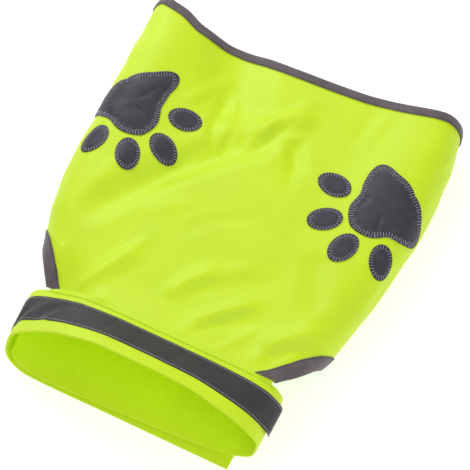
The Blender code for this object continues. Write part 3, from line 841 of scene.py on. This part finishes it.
# The looks of the cloths. tone is the shares of grain, patches and fuzz, tints are places on the tone's ramp
# with how much of the colour they have, rough is the share of fuzz and the least roughness, scales are those
# of patches and fuzz, and each bump is a strength and a distance in metres.
LOOKS = {
    "knit": {
        # The knit's grain share darkens its dimples: painted shade in the hollows between the loops.
        "tone": (0.45, 0.4, 0.15),
        "tints": ((0.22, 0.86), (0.5, 1.0), (0.8, 1.07)),
        "rough": (0.2, 0.42),
        "scales": (26.0, 2400.0),
        "grain": knit_group,
        "fuzz_bump": (0.35, 0.00018),
        "grain_bump": (0.6, 0.00016),
        "shader": {
            "Specular IOR Level": 0.5,
            "Sheen Weight": 0.05,
            "Sheen Roughness": 0.5,
            # Emission is a painted glow: the knit shines by itself, which brightens its shaded inside and its whole
            # fluorescent yellow.
            "Emission Color": (0.72, 1.0, 0.0, 1),
            "Emission Strength": 0.13,
        },
    },
    "binding": {
        "tone": (0, 0.7, 0.3),
        "tints": ((0.25, 0.72), (0.5, 1.0), (0.75, 1.35)),
        "rough": (0.3, 0.45),
        "scales": (90.0, 2600.0),
        "grain": weave_group,
        "fuzz_bump": (0.4, 0.0002),
        "grain_bump": (0.5, 0.00015),
        "shader": {"Sheen Weight": 0.25, "Sheen Roughness": 0.4},
    },
    "reflective": {
        "tone": (0.5, 0, 0.5),
        "tints": ((0.3, 0.78), (0.5, 1.0), (0.72, 1.4)),
        "rough": (0.35, 0.34),
        "scales": (60.0, 3200.0),
        "grain": rubbed_group,
        "fuzz_bump": (0.45, 0.00012),
        "grain_bump": (0.3, 0.0012),
        "shader": {"Specular IOR Level": 0.3},
    },
    "thread": {
        "tone": (0, 0.6, 0.4),
        "tints": ((0.3, 0.62), (0.5, 1.0), (0.7, 1.45)),
        "rough": (0.3, 0.4),
        "scales": (320.0, 5200.0),
        "fuzz_bump": (0.5, 0.0001),
    },
    "closure": {
        "tone": (0, 1.0, 0),
        "tints": ((0.3, 0.8), (0.5, 1.0), (0.7, 1.12)),
        "rough": (0.3, 0.65),
        "scales": (70.0, 2400.0),
        "grain": weave_group,
        "grain_bump": (0.6, 0.0002),
    },
}


def tone_ramp(tree, tone, colour, tints):
    """The colour made lighter or darker along a tone."""
    ramp = add_node(tree, "ShaderNodeValToRGB", Fac=tone)
    elements = ramp.color_ramp.elements
    while len(elements) < len(tints):
        elements.new(0.5)
    for element, (position, amount) in zip(elements, tints):
        element.position = position
        element.color = (*(min(1.0, channel * amount) for channel in colour), 1)
    return ramp.outputs[0]


@lru_cache(maxsize=None)
def cloth_material(name, look, colour_name, **grain_sizes):
    """A cloth's material, from its look, a colour of VestColours and the sizes of its grain."""
    colour = tuple(getattr(bpy.context.scene.vest_colours, colour_name))
    look = LOOKS[look]
    material = bpy.data.materials.new(name)
    material.use_nodes = True
    material.diffuse_color = (*colour, 1)
    tree = material.node_tree
    shader = tree.nodes["Principled BSDF"]
    place = tree.nodes.new("ShaderNodeTexCoord").outputs["Object"]
    cloth = add_node(tree, "ShaderNodeUVMap", uv_map="cloth").outputs[0]
    patch_scale, fuzz_scale = look["scales"]
    mottle = add_node(
        tree, "ShaderNodeGroup", node_tree=mottle_group(), Place=place, Patch_Scale=patch_scale, Fuzz_Scale=fuzz_scale
    )
    fuzz, grain_tone_and_shade, height = mottle.outputs["Fuzz"], None, None
    if "grain" in look:
        grain = add_node(tree, "ShaderNodeGroup", node_tree=look["grain"](), Cloth=cloth, **grain_sizes)
        grain_tone_and_shade, height = grain.outputs.get("Tone"), grain.outputs["Height"]
    tone = 0.0
    for share, part in zip(look["tone"], (grain_tone_and_shade, mottle.outputs["Patches"], fuzz)):
        if share:
            tone = calculate(tree, "MULTIPLY_ADD", part, share, tone)
    plug(tree, shader.inputs["Base Color"], tone_ramp(tree, tone, colour, look["tints"]))
    plug(tree, shader.inputs["Roughness"], calculate(tree, "MULTIPLY_ADD", fuzz, *look["rough"]))
    normal = None
    for part, bump in ((fuzz, look.get("fuzz_bump")), (height, look.get("grain_bump"))):
        if bump:
            strength, distance = bump
            node = add_node(
                tree, "ShaderNodeBump", Height=part, Strength=strength, Distance=distance, Normal=normal
            )
            normal = node.outputs[0]
    plug(tree, shader.inputs["Normal"], normal)
    for socket, value in look.get("shader", {}).items():
        shader.inputs[socket].default_value = value
    return material


def body_knit():
    """The fine knit of the body, with a painted glow and painted shade in its dimples."""
    return cloth_material(
        "fluorescent_knit_cloth", "knit", "knit", Stitch=bpy.context.scene.vest_sizes.knit_stitch
    )


def thread_material(name):
    """Twisted sewing thread of a colour of the same name."""
    return cloth_material(name, "thread", name)


# ---------------------------------------------------------------- sewing by Geometry Nodes


STITCH_SIZES = {"Spacing": 0.003, "Length": 0.0026, "Thickness": 0.0005, "Turn": 0.0, "Swing": 0.0, "Unevenness": 0.12}


@lru_cache(maxsize=None)
def stitch_tree():
    """Geometry Nodes tree that lays a bowed thread at even steps along guide lines."""
    tree, given, made = new_group(
        "bowed stitches",
        (
            ("Geometry", "NodeSocketGeometry", None),
            *((label, "NodeSocketFloat", default) for label, default in STITCH_SIZES.items()),
            ("Seed", "NodeSocketInt", 5),
            ("Thread", "NodeSocketMaterial", None),
        ),
        (("Geometry", "NodeSocketGeometry"),),
        "GeometryNodeTree",
    )

    def node(kind, **values):
        return add_node(tree, kind, **values)

    wanted = given.outputs
    line = node("GeometryNodeMeshToCurve", Mesh=wanted["Geometry"])
    even = node("GeometryNodeResampleCurve", mode="LENGTH", Curve=line.outputs[0], Length=wanted["Spacing"])

    rise = node("GeometryNodeInputNamedAttribute", data_type="FLOAT_VECTOR", Name="rise").outputs["Attribute"]
    tangent = node("GeometryNodeInputTangent").outputs[0]
    ahead = node("FunctionNodeAlignRotationToVector", axis="X", Vector=tangent).outputs[0]
    upright = node("FunctionNodeAlignRotationToVector", axis="Z", pivot_axis="X", Rotation=ahead, Vector=rise)

    uneven = node("FunctionNodeRandomValue", data_type="FLOAT", Seed=wanted["Seed"])
    limits = [socket for socket in uneven.inputs if socket.enabled and socket.name in ("Min", "Max")]
    for socket, limit in zip(limits, (-1.0, 1.0)):
        socket.default_value = limit
    random = next(socket for socket in uneven.outputs if socket.enabled)
    parity = calculate(tree, "MODULO", node("GeometryNodeInputIndex").outputs[0], 2.0)
    side = calculate(tree, "MULTIPLY_ADD", parity, 2.0, -1.0)
    angle = calculate(tree, "MULTIPLY_ADD", side, wanted["Swing"], wanted["Turn"])
    angle = calculate(tree, "MULTIPLY_ADD", random, wanted["Unevenness"], angle)
    about = node("FunctionNodeAxisAngleToRotation", Axis=(0, 0, 1), Angle=angle)
    turned = node(
        "FunctionNodeRotateRotation", rotation_space="LOCAL", Rotation=upright.outputs[0], Rotate_By=about.outputs[0]
    )

    bow = node(
        "GeometryNodeCurveQuadraticBezier", Resolution=5, Start=(-0.5, 0, -0.6), Middle=(0, 0, 1.1), End=(0.5, 0, -0.6)
    )
    around = node("GeometryNodeCurvePrimitiveCircle", mode="RADIUS", Resolution=5, Radius=0.5)
    tube = node(
        "GeometryNodeCurveToMesh", Curve=bow.outputs[0], Profile_Curve=around.outputs["Curve"], Fill_Caps=True
    )
    stretch = calculate(tree, "MULTIPLY_ADD", random, wanted["Unevenness"], 1.0)
    size = node(
        "ShaderNodeCombineXYZ",
        X=calculate(tree, "MULTIPLY", wanted["Length"], stretch),
        Y=wanted["Thickness"],
        Z=wanted["Thickness"],
    )
    placed = node(
        "GeometryNodeInstanceOnPoints",
        Points=even.outputs[0],
        Instance=tube.outputs[0],
        Rotation=turned.outputs[0],
        Scale=size.outputs[0],
    )
    real = node("GeometryNodeRealizeInstances", Geometry=placed.outputs[0])
    smooth = node("GeometryNodeSetShadeSmooth", Geometry=real.outputs[0])
    coloured = node("GeometryNodeSetMaterial", Geometry=smooth.outputs[0], Material=wanted["Thread"])
    tree.links.new(coloured.outputs[0], made.inputs[0])
    return tree


def guide_mesh(name, guides):
    """Lines of points with the cloth's normal at each. A guide is (points, normals, closed)."""
    points, rises, edges = [], [], []
    for places, normals, closed in guides:
        first = len(points)
        points.extend(in_frame(places))
        rises.extend(np.asarray(normals).ravel().tolist())
        edges.extend([(first + i, first + i + 1) for i in range(len(places) - 1)])
        if closed:
            edges.append((first + len(places) - 1, first))
    mesh = bpy.data.meshes.new(name)
    mesh.from_pydata(points, edges, [])
    attribute = mesh.attributes.new("rise", "FLOAT_VECTOR", "POINT")
    attribute.data.foreach_set("vector", rises)
    return mesh


def add_stitches(name, guides, thread, slot_name, **sizes):
    """Sewing along guides, as one finished piece. The sizes are the tree's named inputs."""
    tree = stitch_tree()
    scratch = bpy.data.objects.new(name + "_guides", guide_mesh(name + "_guides", guides))
    bpy.context.scene.collection.objects.link(scratch)
    modifier = scratch.modifiers.new("Stitches", "NODES")
    modifier.node_group = tree
    wanted = {"Thread": thread, **sizes}
    for item in tree.interface.items_tree:
        if item.item_type == "SOCKET" and item.in_out == "INPUT" and item.name in wanted:
            modifier[item.identifier] = wanted[item.name]
    mesh = settle(scratch, name)
    if not mesh.polygons:
        raise RuntimeError(name + " came out empty")
    if thread.name not in [material.name for material in mesh.materials if material]:
        mesh.materials.append(thread)
    return add_piece(name, mesh, ())


def body_guide(distance, station, height, closed=False):
    """A guide on the body."""
    return lay_on_body(distance, station, height), body_normal(distance, station), closed


def band_guide(along, across, height):
    """A guide on the band."""
    return lay_on_band(along, across, height), band_normal(along, across), False


# ---------------------------------------------------------------- the pieces


def paw_to_cloth(side, forward, sideways):
    """A place in the paw's own plane, as distance over the cloth and station."""
    turn = PAW_TURN[side]
    inward = forward * sin(turn) + sideways * cos(turn)
    rearward = sideways * sin(turn) - forward * cos(turn)
    return side * (PAW_DISTANCE - inward), PAW_STATION + rearward


def pad_radius(angle, side):
    """Outline of a pad: three lobes, one towards the toes."""
    radii = smooth_rows(PAD_OUTLINE, np.degrees(np.abs(angle)))
    return radii[..., 1 if side > 0 else 0]


def paw_shapes(side):
    """Each shape's name and its place(angle, share) in the paw's own plane."""

    def pad(angle, share):
        radius = pad_radius(angle, side) * share
        return radius * np.cos(angle), radius * np.sin(angle)

    shapes = [("pad", pad, 132)]
    for number, (degree, distance, half_length, half_width) in enumerate(TOES, start=1):

        def toe(angle, share, degree=radians(degree), distance=distance, length=half_length, width=half_width):
            out = distance + length * share * np.cos(angle)
            over = width * share * np.sin(angle)
            return out * cos(degree) - over * sin(degree), out * sin(degree) + over * cos(degree)

        shapes.append((f"toe_{number}", toe, 60))
    return shapes


class VEST_OT_body(Operator):
    """Lay the knit body: back, flanks and both belly flaps, cut in one"""

    bl_idname = "vest.body"
    bl_label = "Body"

    def execute(self, context):
        half = np.concatenate([np.linspace(0, 1, 78), np.linspace(1, 2, 34)[1:], np.linspace(2, 3, 28)[1:]])
        columns = both_sides(half)[:, None]
        share = np.linspace(0, 1, 143)[None, :]
        station = front_edge(columns) + (rear_edge(columns) - front_edge(columns)) * share
        distance = column_distance(columns, station)
        points = body_point(distance, station)
        uv = np.stack([distance, station], -1)
        body = cloth_sheet("vest_body", points, uv, BODY_WALL, body_knit(), ("back_panel",))
        self.add_seam_strip()
        return {"FINISHED"}

    def add_seam_strip(self):
        """The body's narrow seam allowance, which laps onto the neck band."""
        start, end = (float(station_distance(at)) for at in SEAM_STRIP_STATIONS)
        along = np.linspace(start, end, round((end - start) / 1.9) + 1)
        front = lay_on_band(along, SEAM_STRIP_ACROSS, SEAM_STRIP_HEIGHT)
        flat = np.array([ring_point(1 if x > 0 else -1, 1.0, SEAM_STRIP_REAR)[0] for x in front[:, 0]])
        column = np.clip(np.abs(front[:, 0] / flat), 0, 1) * np.sign(front[:, 0])
        rear = lay_on_body(column_distance(column, SEAM_STRIP_REAR), SEAM_STRIP_REAR, SEAM_STRIP_HEIGHT)
        share = np.linspace(0, 1, 6)[None, :, None]
        points = front[:, None] * (1 - share) + rear[:, None] * share
        uv = np.stack(np.broadcast_arrays(along[:, None], share[..., 0] * SEAM_STRIP_WIDTH), -1)
        return cloth_sheet("neck_seam_strip", points, uv, SEAM_STRIP_WALL, body_knit(), ())


def both_sides(half):
    """Columns of the right side, from 0 on, with those of the left side before them."""
    return np.concatenate([-half[:0:-1], half])


def binding_profile(width):
    """Outer outline of a folded binding: width in from the edge, and height, puffed on its outer face."""
    top = TRIM_GAP + TRIM_WALL
    middle = -BODY_WALL / 2
    radius = top - middle
    leg = np.linspace(width, 0, 9)
    puff = BINDING_PUFF * np.sin(pi * np.clip(leg / width, 0, 1)) ** 0.7
    outer = np.stack([leg, top + puff], -1)
    turn = np.linspace(0, pi, 11)[1:-1]
    fold = np.stack([-radius * np.sin(turn), middle + radius * np.cos(turn)], -1)
    inner = np.stack([leg[::-1], np.full(9, middle - radius)], -1)
    return np.concatenate([outer, fold, inner])


class VEST_OT_bindings(Operator):
    """Fold the bindings round the hem and both leg openings"""

    bl_idname = "vest.bindings"
    bl_label = "Bindings"

    def execute(self, context):
        belly = np.linspace(2, 3 - BINDING_END, 60)[1:]
        whole = both_sides(np.concatenate([np.linspace(0, 1, 90), np.linspace(1, 2, 48)[1:], belly]))
        front = np.concatenate([np.linspace(ARMHOLE_START, 2, 60), belly])
        cuts = (
            ("hem_binding_tape", whole, rear_edge, HEM_LEG, "hem_binding", 0.77),
            ("leg_binding_right_tape", front, opening_edge, OPENING_LEG, "armhole_binding_right", 0.27),
            ("leg_binding_left_tape", -front[::-1], opening_edge, OPENING_LEG, "armhole_binding_left", 0.27),
        )
        for name, columns, edge, leg, node, length in cuts:
            outline = binding_profile(leg)
            columns, inward = columns[:, None], -1
            if edge is opening_edge:
                outline, inward = outline[::-1], 1
                columns = slanted(columns, outline[:, 0])
            distance, station = beside_edge(edge, columns, inward * outline[:, 0])
            points = lay_on_body(distance, station, np.broadcast_to(outline[:, 1], distance.shape))
            points[..., 2] = np.maximum(points[..., 2], FLOOR_CLEARANCE)
            uv = np.stack(np.broadcast_arrays(run_lengths(points[:, 0])[:, None], run_lengths(outline)), -1)
            material = cloth_material("binding_weave", "binding", "binding", Rib=0.0011, Pick=0.0007)
            tape = cloth_sheet(name, points, uv, TRIM_WALL, material, (node,))
        return {"FINISHED"}


class VEST_OT_band(Operator):
    """Close the padded knit band round the neck, its ends on each other under the chin"""

    bl_idname = "vest.band"
    bl_label = "Neck band"

    def execute(self, context):
        length = band_table()[-1, 0]
        along = np.linspace(0, length, round(length / 1.9) + 1)
        rim = np.linspace(0, pi, 7)
        radius = BAND_WALL / 2
        across = np.linspace(radius, BAND_WIDTH - radius, 24)
        outer = np.stack([across, BAND_PUFF * np.sin(pi * across / BAND_WIDTH) ** 0.5], -1)
        rear = np.stack([BAND_WIDTH - radius + radius * np.sin(rim), -radius + radius * np.cos(rim)], -1)
        front = np.stack([radius - radius * np.sin(rim), -radius - radius * np.cos(rim)], -1)
        inner = np.stack([across[::-1], np.full(len(across), -BAND_WALL)], -1)
        loop = np.concatenate([front[4:], outer[1:-1], rear, inner[1:-1], front[:4]])
        places, width, height = np.broadcast_arrays(along[:, None], loop[:, 0], loop[:, 1])
        points = lay_on_band(places, width, height)
        points[..., 2] = np.maximum(points[..., 2], FLOOR_CLEARANCE)
        uv = np.stack(np.broadcast_arrays(places, run_lengths(loop)), -1)
        mesh = grid_mesh("neck_band_knit", points, uv, closed=True)
        stitch = context.scene.vest_sizes.band_stitch
        # The band's knit has the same painted glow and painted shade in its dimples.
        finish_mesh(mesh, cloth_material("fluorescent_band_knit", "knit", "knit", Stitch=stitch), radians(60))
        band = add_piece("neck_band_knit", mesh, ("neck_band",))
        return {"FINISHED"}


class VEST_OT_tape(Operator):
    """Lay the reflective tape over the top of the band"""

    bl_idname = "vest.tape"
    bl_label = "Reflective tape"

    def execute(self, context):
        start = float(station_distance(TAPE_START_STATION))
        end = float(station_distance(TAPE_END_STATION))
        along = np.linspace(start, end, round((end - start) / 1.7) + 1)[:, None]
        across = np.linspace(TAPE_FRONT, TAPE_FRONT + TAPE_WIDTH, 20)[None, :]
        free = smoothstep((along - end + TAPE_FREE_LENGTH) / TAPE_FREE_LENGTH)
        inset = np.minimum(across - TAPE_FRONT, TAPE_FRONT + TAPE_WIDTH - across)
        puff = TAPE_PUFF * smoothstep(inset / 3.0) + TAPE_GAP + TAPE_WALL
        places, width = np.broadcast_arrays(along, across)
        points = lay_on_band(places, width, puff + TAPE_FREE_LIFT * free)
        uv = np.stack([places, width], -1)
        material = cloth_material("reflective_tape_beads", "reflective", "tape")
        tape = cloth_sheet(
            "reflective_band_tape", points, uv, TAPE_WALL, material, ("reflective_tape",)
        )
        return {"FINISHED"}


class VEST_OT_paws(Operator):
    """Lay the padded paw prints of reflective cloth on both flanks"""

    bl_idname = "vest.paws"
    bl_label = "Paw prints"

    def execute(self, context):
        rings = np.array(PAW_RINGS)
        for side, side_name in ((-1, "left"), (1, "right")):
            for kind, place, steps in paw_shapes(side):
                angle = np.linspace(-pi, pi, steps, endpoint=False)
                share = np.broadcast_to(rings[:, None], (len(rings), steps))
                forward, sideways = place(np.broadcast_to(angle, share.shape), share)
                distance, station = paw_to_cloth(side, forward, sideways)
                swell = PAD_SWELL if kind == "pad" else TOE_SWELL
                height = PAW_GAP + PAW_WALL + swell * (1 - smoothstep((share - 0.5) / 0.4))
                rim = PAW_RIPPLE * np.sin(angle * steps / 6.0)[None, :] * smoothstep((share - 0.7) / 0.15)
                height = height + rim * (share < 0.99)
                if kind == "pad":
                    fade = 1 - smoothstep((share - 0.75) / 0.15)
                    height = height + fold_height(PAD_CREASES[side], forward, sideways) * fade
                top = lay_on_body(distance, station, np.maximum(height, PAW_GAP + PAW_LEAST))
                under = lay_on_body(distance[::-4], station[::-4], PAW_GAP)
                self.add_shape(f"paw_{side_name}_{kind}", side, top, under)
        return {"FINISHED"}

    def add_shape(self, name, side, top, under):
        """One closed shape: top rings from the middle out, then rings under it back to the middle."""
        rings = np.concatenate([top[1:], under[:-1]])
        count = rings.shape[1]
        points = np.concatenate([rings.reshape(-1, 3), top[0, :1], under[-1, :1]])
        first, last = len(points) - 2, len(points) - 1
        inner = (len(rings) - 1) * count
        faces = []
        for j in range(count):
            k = (j + 1) % count
            for ring in range(0, inner, count):
                faces.append((ring + j, ring + count + j, ring + count + k, ring + k))
            faces.append((first, j, k))
            faces.append((last, inner + k, inner + j))
        if side > 0:
            faces = [face[::-1] for face in faces]
        mesh = plain_mesh(name + "_cloth", points, faces, points[:, :2])
        finish_mesh(mesh, cloth_material("reflective_paw_beads", "reflective", "paws"), radians(50))
        piece = add_piece(name + "_cloth", mesh, (name,))


class VEST_OT_closures(Operator):
    """Put the hook and loop tapes between the straps and between the flaps"""

    bl_idname = "vest.closures"
    bl_label = "Closures"

    def execute(self, context):
        for name, (middle_x, middle_y, length_x, length_y, underside) in CLOSURES.items():
            for layer, kind in enumerate(("loop", "hook")):
                self.add_tape(name, kind, middle_x, middle_y, length_x, length_y, underside + layer * CLOSURE_STEP)
        return {"FINISHED"}

    def add_tape(self, name, kind, middle_x, middle_y, length_x, length_y, underside):
        """One tape with rounded corners, its hooks or loops towards the other tape."""
        x = np.linspace(-length_x / 2, length_x / 2, 21)
        y = np.linspace(-length_y / 2, length_y / 2, 21)
        x, y = np.meshgrid(x, y, indexing="ij")
        into_corner = np.clip(CLOSURE_CORNER - (length_y / 2 - np.abs(y)), 0, CLOSURE_CORNER)
        at_end = np.abs(x) > length_x / 2 - CLOSURE_CORNER
        x = x - np.sign(x) * (CLOSURE_CORNER - np.sqrt(CLOSURE_CORNER**2 - into_corner**2)) * at_end
        loops = kind == "loop"
        top = underside + (CLOSURE_WALL if loops else HOOK_TOP)
        points = np.stack([x + middle_x, y + middle_y, np.full_like(x, top)], -1)
        ground = cloth_material("closure_ground", "closure", "closure", Rib=0.0014, Pick=0.0008)
        tape = cloth_sheet(
            f"{name}_{kind}_tape", points, points[..., :2], CLOSURE_WALL, ground,
            (f"{name}_closure_{kind}",),
        )
        face = top if loops else top - CLOSURE_WALL
        rises = np.array([(0, 0, 1 if loops else -1)] * 2, float)
        end = length_x / 2 - PILE_INSET
        guides = []
        for row in np.arange(PILE_INSET - length_y / 2, length_y / 2 - PILE_INSET + 1, PILE_ROW):
            line = np.array([[middle_x - end, middle_y + row, face], [middle_x + end, middle_y + row, face]])
            guides.append((line, rises, False))
        thread = cloth_material("closure_pile", "thread", "pile")
        pile = add_stitches(f"{name}_{kind}_pile", guides, thread, "closure_tape", **PILE_SIZES)


class VEST_OT_sewing(Operator):
    """Sew the seams: bindings, neck seam, tape and paw prints"""

    bl_idname = "vest.sewing"
    bl_label = "Sewing"

    def execute(self, context):
        sizes = context.scene.vest_sizes
        straight = {"Spacing": sizes.seam_stitch * 1.25, "Length": sizes.seam_stitch}
        self.sew_paws(sizes)
        self.sew_tape({**straight, "Thickness": 0.0003})
        self.sew_bindings()
        along = np.arange(float(station_distance(8.2)), float(station_distance(14.2)), 1.0)
        seam = [band_guide(along, np.full_like(along, BAND_WIDTH - 2.6), np.full_like(along, 0.28))]
        bright = thread_material("bright_thread")
        add_stitches("neck_seam_stitches", seam, bright, "fluorescent_knit", **straight, Thickness=0.00035)
        return {"FINISHED"}

    def sew_paws(self, sizes):
        """Bars across the edge of each pad and toe."""
        guides = []
        for side in (-1, 1):
            for kind, place, steps in paw_shapes(side):
                angle = np.linspace(-pi, pi, steps * 2, endpoint=False)
                inset = 0.91 if kind == "pad" else 0.8
                distance, station = paw_to_cloth(side, *place(angle, np.full_like(angle, inset)))
                guides.append(body_guide(distance, station, np.full_like(angle, PAW_GAP + PAW_WALL + 0.1), True))
        bars = {"Spacing": sizes.paw_stitch, "Length": sizes.paw_stitch_width, "Thickness": sizes.thread}
        pale = thread_material("pale_thread")
        add_stitches("paw_stitches", guides, pale, "reflective_cloth", Turn=pi / 2, Swing=0.1, **bars)

    def sew_tape(self, straight):
        """Lines along both edges of the tape, and two across its free end."""
        start, end = (float(station_distance(at)) for at in (TAPE_START_STATION, TAPE_END_STATION))
        low, high = TAPE_FRONT + TAPE_STITCH_INSET, TAPE_FRONT + TAPE_WIDTH - TAPE_STITCH_INSET
        along = np.arange(start + 2, end - 1.5, 1.0)
        free = smoothstep((along - end + TAPE_FREE_LENGTH) / TAPE_FREE_LENGTH)
        height = TAPE_GAP + TAPE_WALL + 0.12 + TAPE_FREE_LIFT * free
        guides = [band_guide(along, np.full_like(along, across), height) for across in (low, high)]
        for inset in (1.6, 3.4):
            across = np.arange(low, high, 1.0)
            lift = TAPE_FREE_LIFT * smoothstep((TAPE_FREE_LENGTH - inset) / TAPE_FREE_LENGTH)
            height = np.full_like(across, TAPE_GAP + TAPE_WALL + 0.25 + lift)
            guides.append(band_guide(np.full_like(across, end - inset), across, height))
        add_stitches("tape_stitches", guides, thread_material("pale_thread"), "reflective_cloth", **straight)

    def sew_bindings(self):
        """Dashes along the inner edge of each binding, on its outer face."""
        dashes = {"Spacing": 0.0024, "Length": 0.0016, "Thickness": 0.00042}
        hem = np.linspace(-2.97, 2.97, 900)
        leg = np.linspace(ARMHOLE_START + 0.01, 2.97, 420)
        leg_width = OPENING_LEG - BINDING_STITCH_INSET
        legs = [(slanted(columns, leg_width), opening_edge, leg_width) for columns in (leg, -leg[::-1])]
        for name, lines in (
            ("hem_stitches", [(hem, rear_edge, BINDING_STITCH_INSET - HEM_LEG)]),
            ("leg_stitches", legs),
        ):
            guides = []
            for columns, edge, width in lines:
                distance, station = beside_edge(edge, columns, width)
                guide = body_guide(distance, station, np.full(len(distance), TRIM_GAP + TRIM_WALL + 0.1))
                guide[0][:, 2] = np.maximum(guide[0][:, 2], 0.3)
                guides.append(guide)
            add_stitches(name, guides, thread_material("dark_thread"), "grey_binding", **dashes)


class VEST_OT_stage(Operator):
    """Set the pale floor, the soft light and the camera"""

    bl_idname = "vest.stage"
    bl_label = "Stage"

    def execute(self, context):
        self.add_floor()
        self.add_light(context.scene)
        self.add_camera(context.scene)
        context.scene.view_settings.view_transform = "Standard"
        return {"FINISHED"}

    def add_floor(self):
        """A white floor that glows a little, as under a studio's soft boxes."""
        mesh = bpy.data.meshes.new("floor")
        corners = [(x * FLOOR_REACH, y * FLOOR_REACH, 0) for x, y in ((-1, -1), (1, -1), (1, 1), (-1, 1))]
        mesh.from_pydata(corners, [], [(0, 1, 2, 3)])
        floor = bpy.data.objects.new("floor", mesh)
        bpy.context.scene.collection.objects.link(floor)
        material = bpy.data.materials.new("pale_floor")
        material.use_nodes = True
        shader = material.node_tree.nodes["Principled BSDF"]
        for socket, value in (
            ("Base Color", (0.9, 0.9, 0.9, 1)),
            ("Roughness", 0.9),
            ("Specular IOR Level", 0.1),
            ("Emission Color", (1, 1, 1, 1)),
            ("Emission Strength", 0.42),
        ):
            shader.inputs[socket].default_value = value
        mesh.materials.append(material)

    def add_light(self, scene):
        """An even white world and two soft lamps."""
        world = bpy.data.worlds.new("studio")
        world.use_nodes = True
        colour, strength = world.node_tree.nodes["Background"].inputs[:2]
        colour.default_value = (1, 1, 1, 1)
        strength.default_value = WORLD_STRENGTH
        scene.world = world
        for name, place, power, size in LAMPS:
            lamp = bpy.data.lights.new(name, "AREA")
            lamp.energy = power
            lamp.size = size
            self.aim(scene, bpy.data.objects.new(name, lamp), Vector(place), Vector())

    def add_camera(self, scene):
        """The camera, turned about what the photo has in its middle."""
        lens = bpy.data.cameras.new("camera")
        lens.lens = CAMERA_LENS
        lens.sensor_width = SENSOR_WIDTH
        lens.clip_start = 0.01
        flat = cos(CAMERA_ELEVATION)
        back = Vector((sin(CAMERA_AZIMUTH) * flat, -cos(CAMERA_AZIMUTH) * flat, sin(CAMERA_ELEVATION)))
        target = Vector(CAMERA_TARGET)
        scene.camera = bpy.data.objects.new("camera", lens)
        self.aim(scene, scene.camera, target + back * CAMERA_DISTANCE, target)

    def aim(self, scene, item, place, target):
        """Puts a lamp or camera at a place, looking at a target."""
        item.location = place
        item.rotation_mode = "QUATERNION"
        item.rotation_quaternion = (target - place).to_track_quat("-Z", "Y")
        scene.collection.objects.link(item)


class VEST_PT_panel(Panel):
    """Lists the vest's pieces"""

    bl_idname = "VEST_PT_panel"
    bl_label = "Dog Safety Vest"
    bl_space_type = "VIEW_3D"
    bl_region_type = "UI"
    bl_category = "Vest"

    def draw(self, context):
        for operator in OPERATORS:
            self.layout.operator(operator.bl_idname)
        for group in (context.scene.vest_sizes, context.scene.vest_colours):
            for name in group.__annotations__:
                self.layout.prop(group, name)


OPERATORS = (
    VEST_OT_body,
    VEST_OT_bindings,
    VEST_OT_band,
    VEST_OT_tape,
    VEST_OT_paws,
    VEST_OT_closures,
    VEST_OT_sewing,
    VEST_OT_stage,
)
CLASSES = (VestSizes, VestColours, *OPERATORS, VEST_PT_panel)


def register():
    for item in CLASSES:
        bpy.utils.register_class(item)
    bpy.types.Scene.vest_sizes = PointerProperty(type=VestSizes)
    bpy.types.Scene.vest_colours = PointerProperty(type=VestColours)


def unregister():
    del bpy.types.Scene.vest_colours
    del bpy.types.Scene.vest_sizes
    for item in reversed(CLASSES):
        bpy.utils.unregister_class(item)


def main():
    register()
    for operator in OPERATORS:
        space, name = operator.bl_idname.split(".")
        result = getattr(getattr(bpy.ops, space), name)()
        if result != {"FINISHED"}:
            raise RuntimeError(operator.bl_label + " was not finished")


if __name__ == "__main__":
    main()
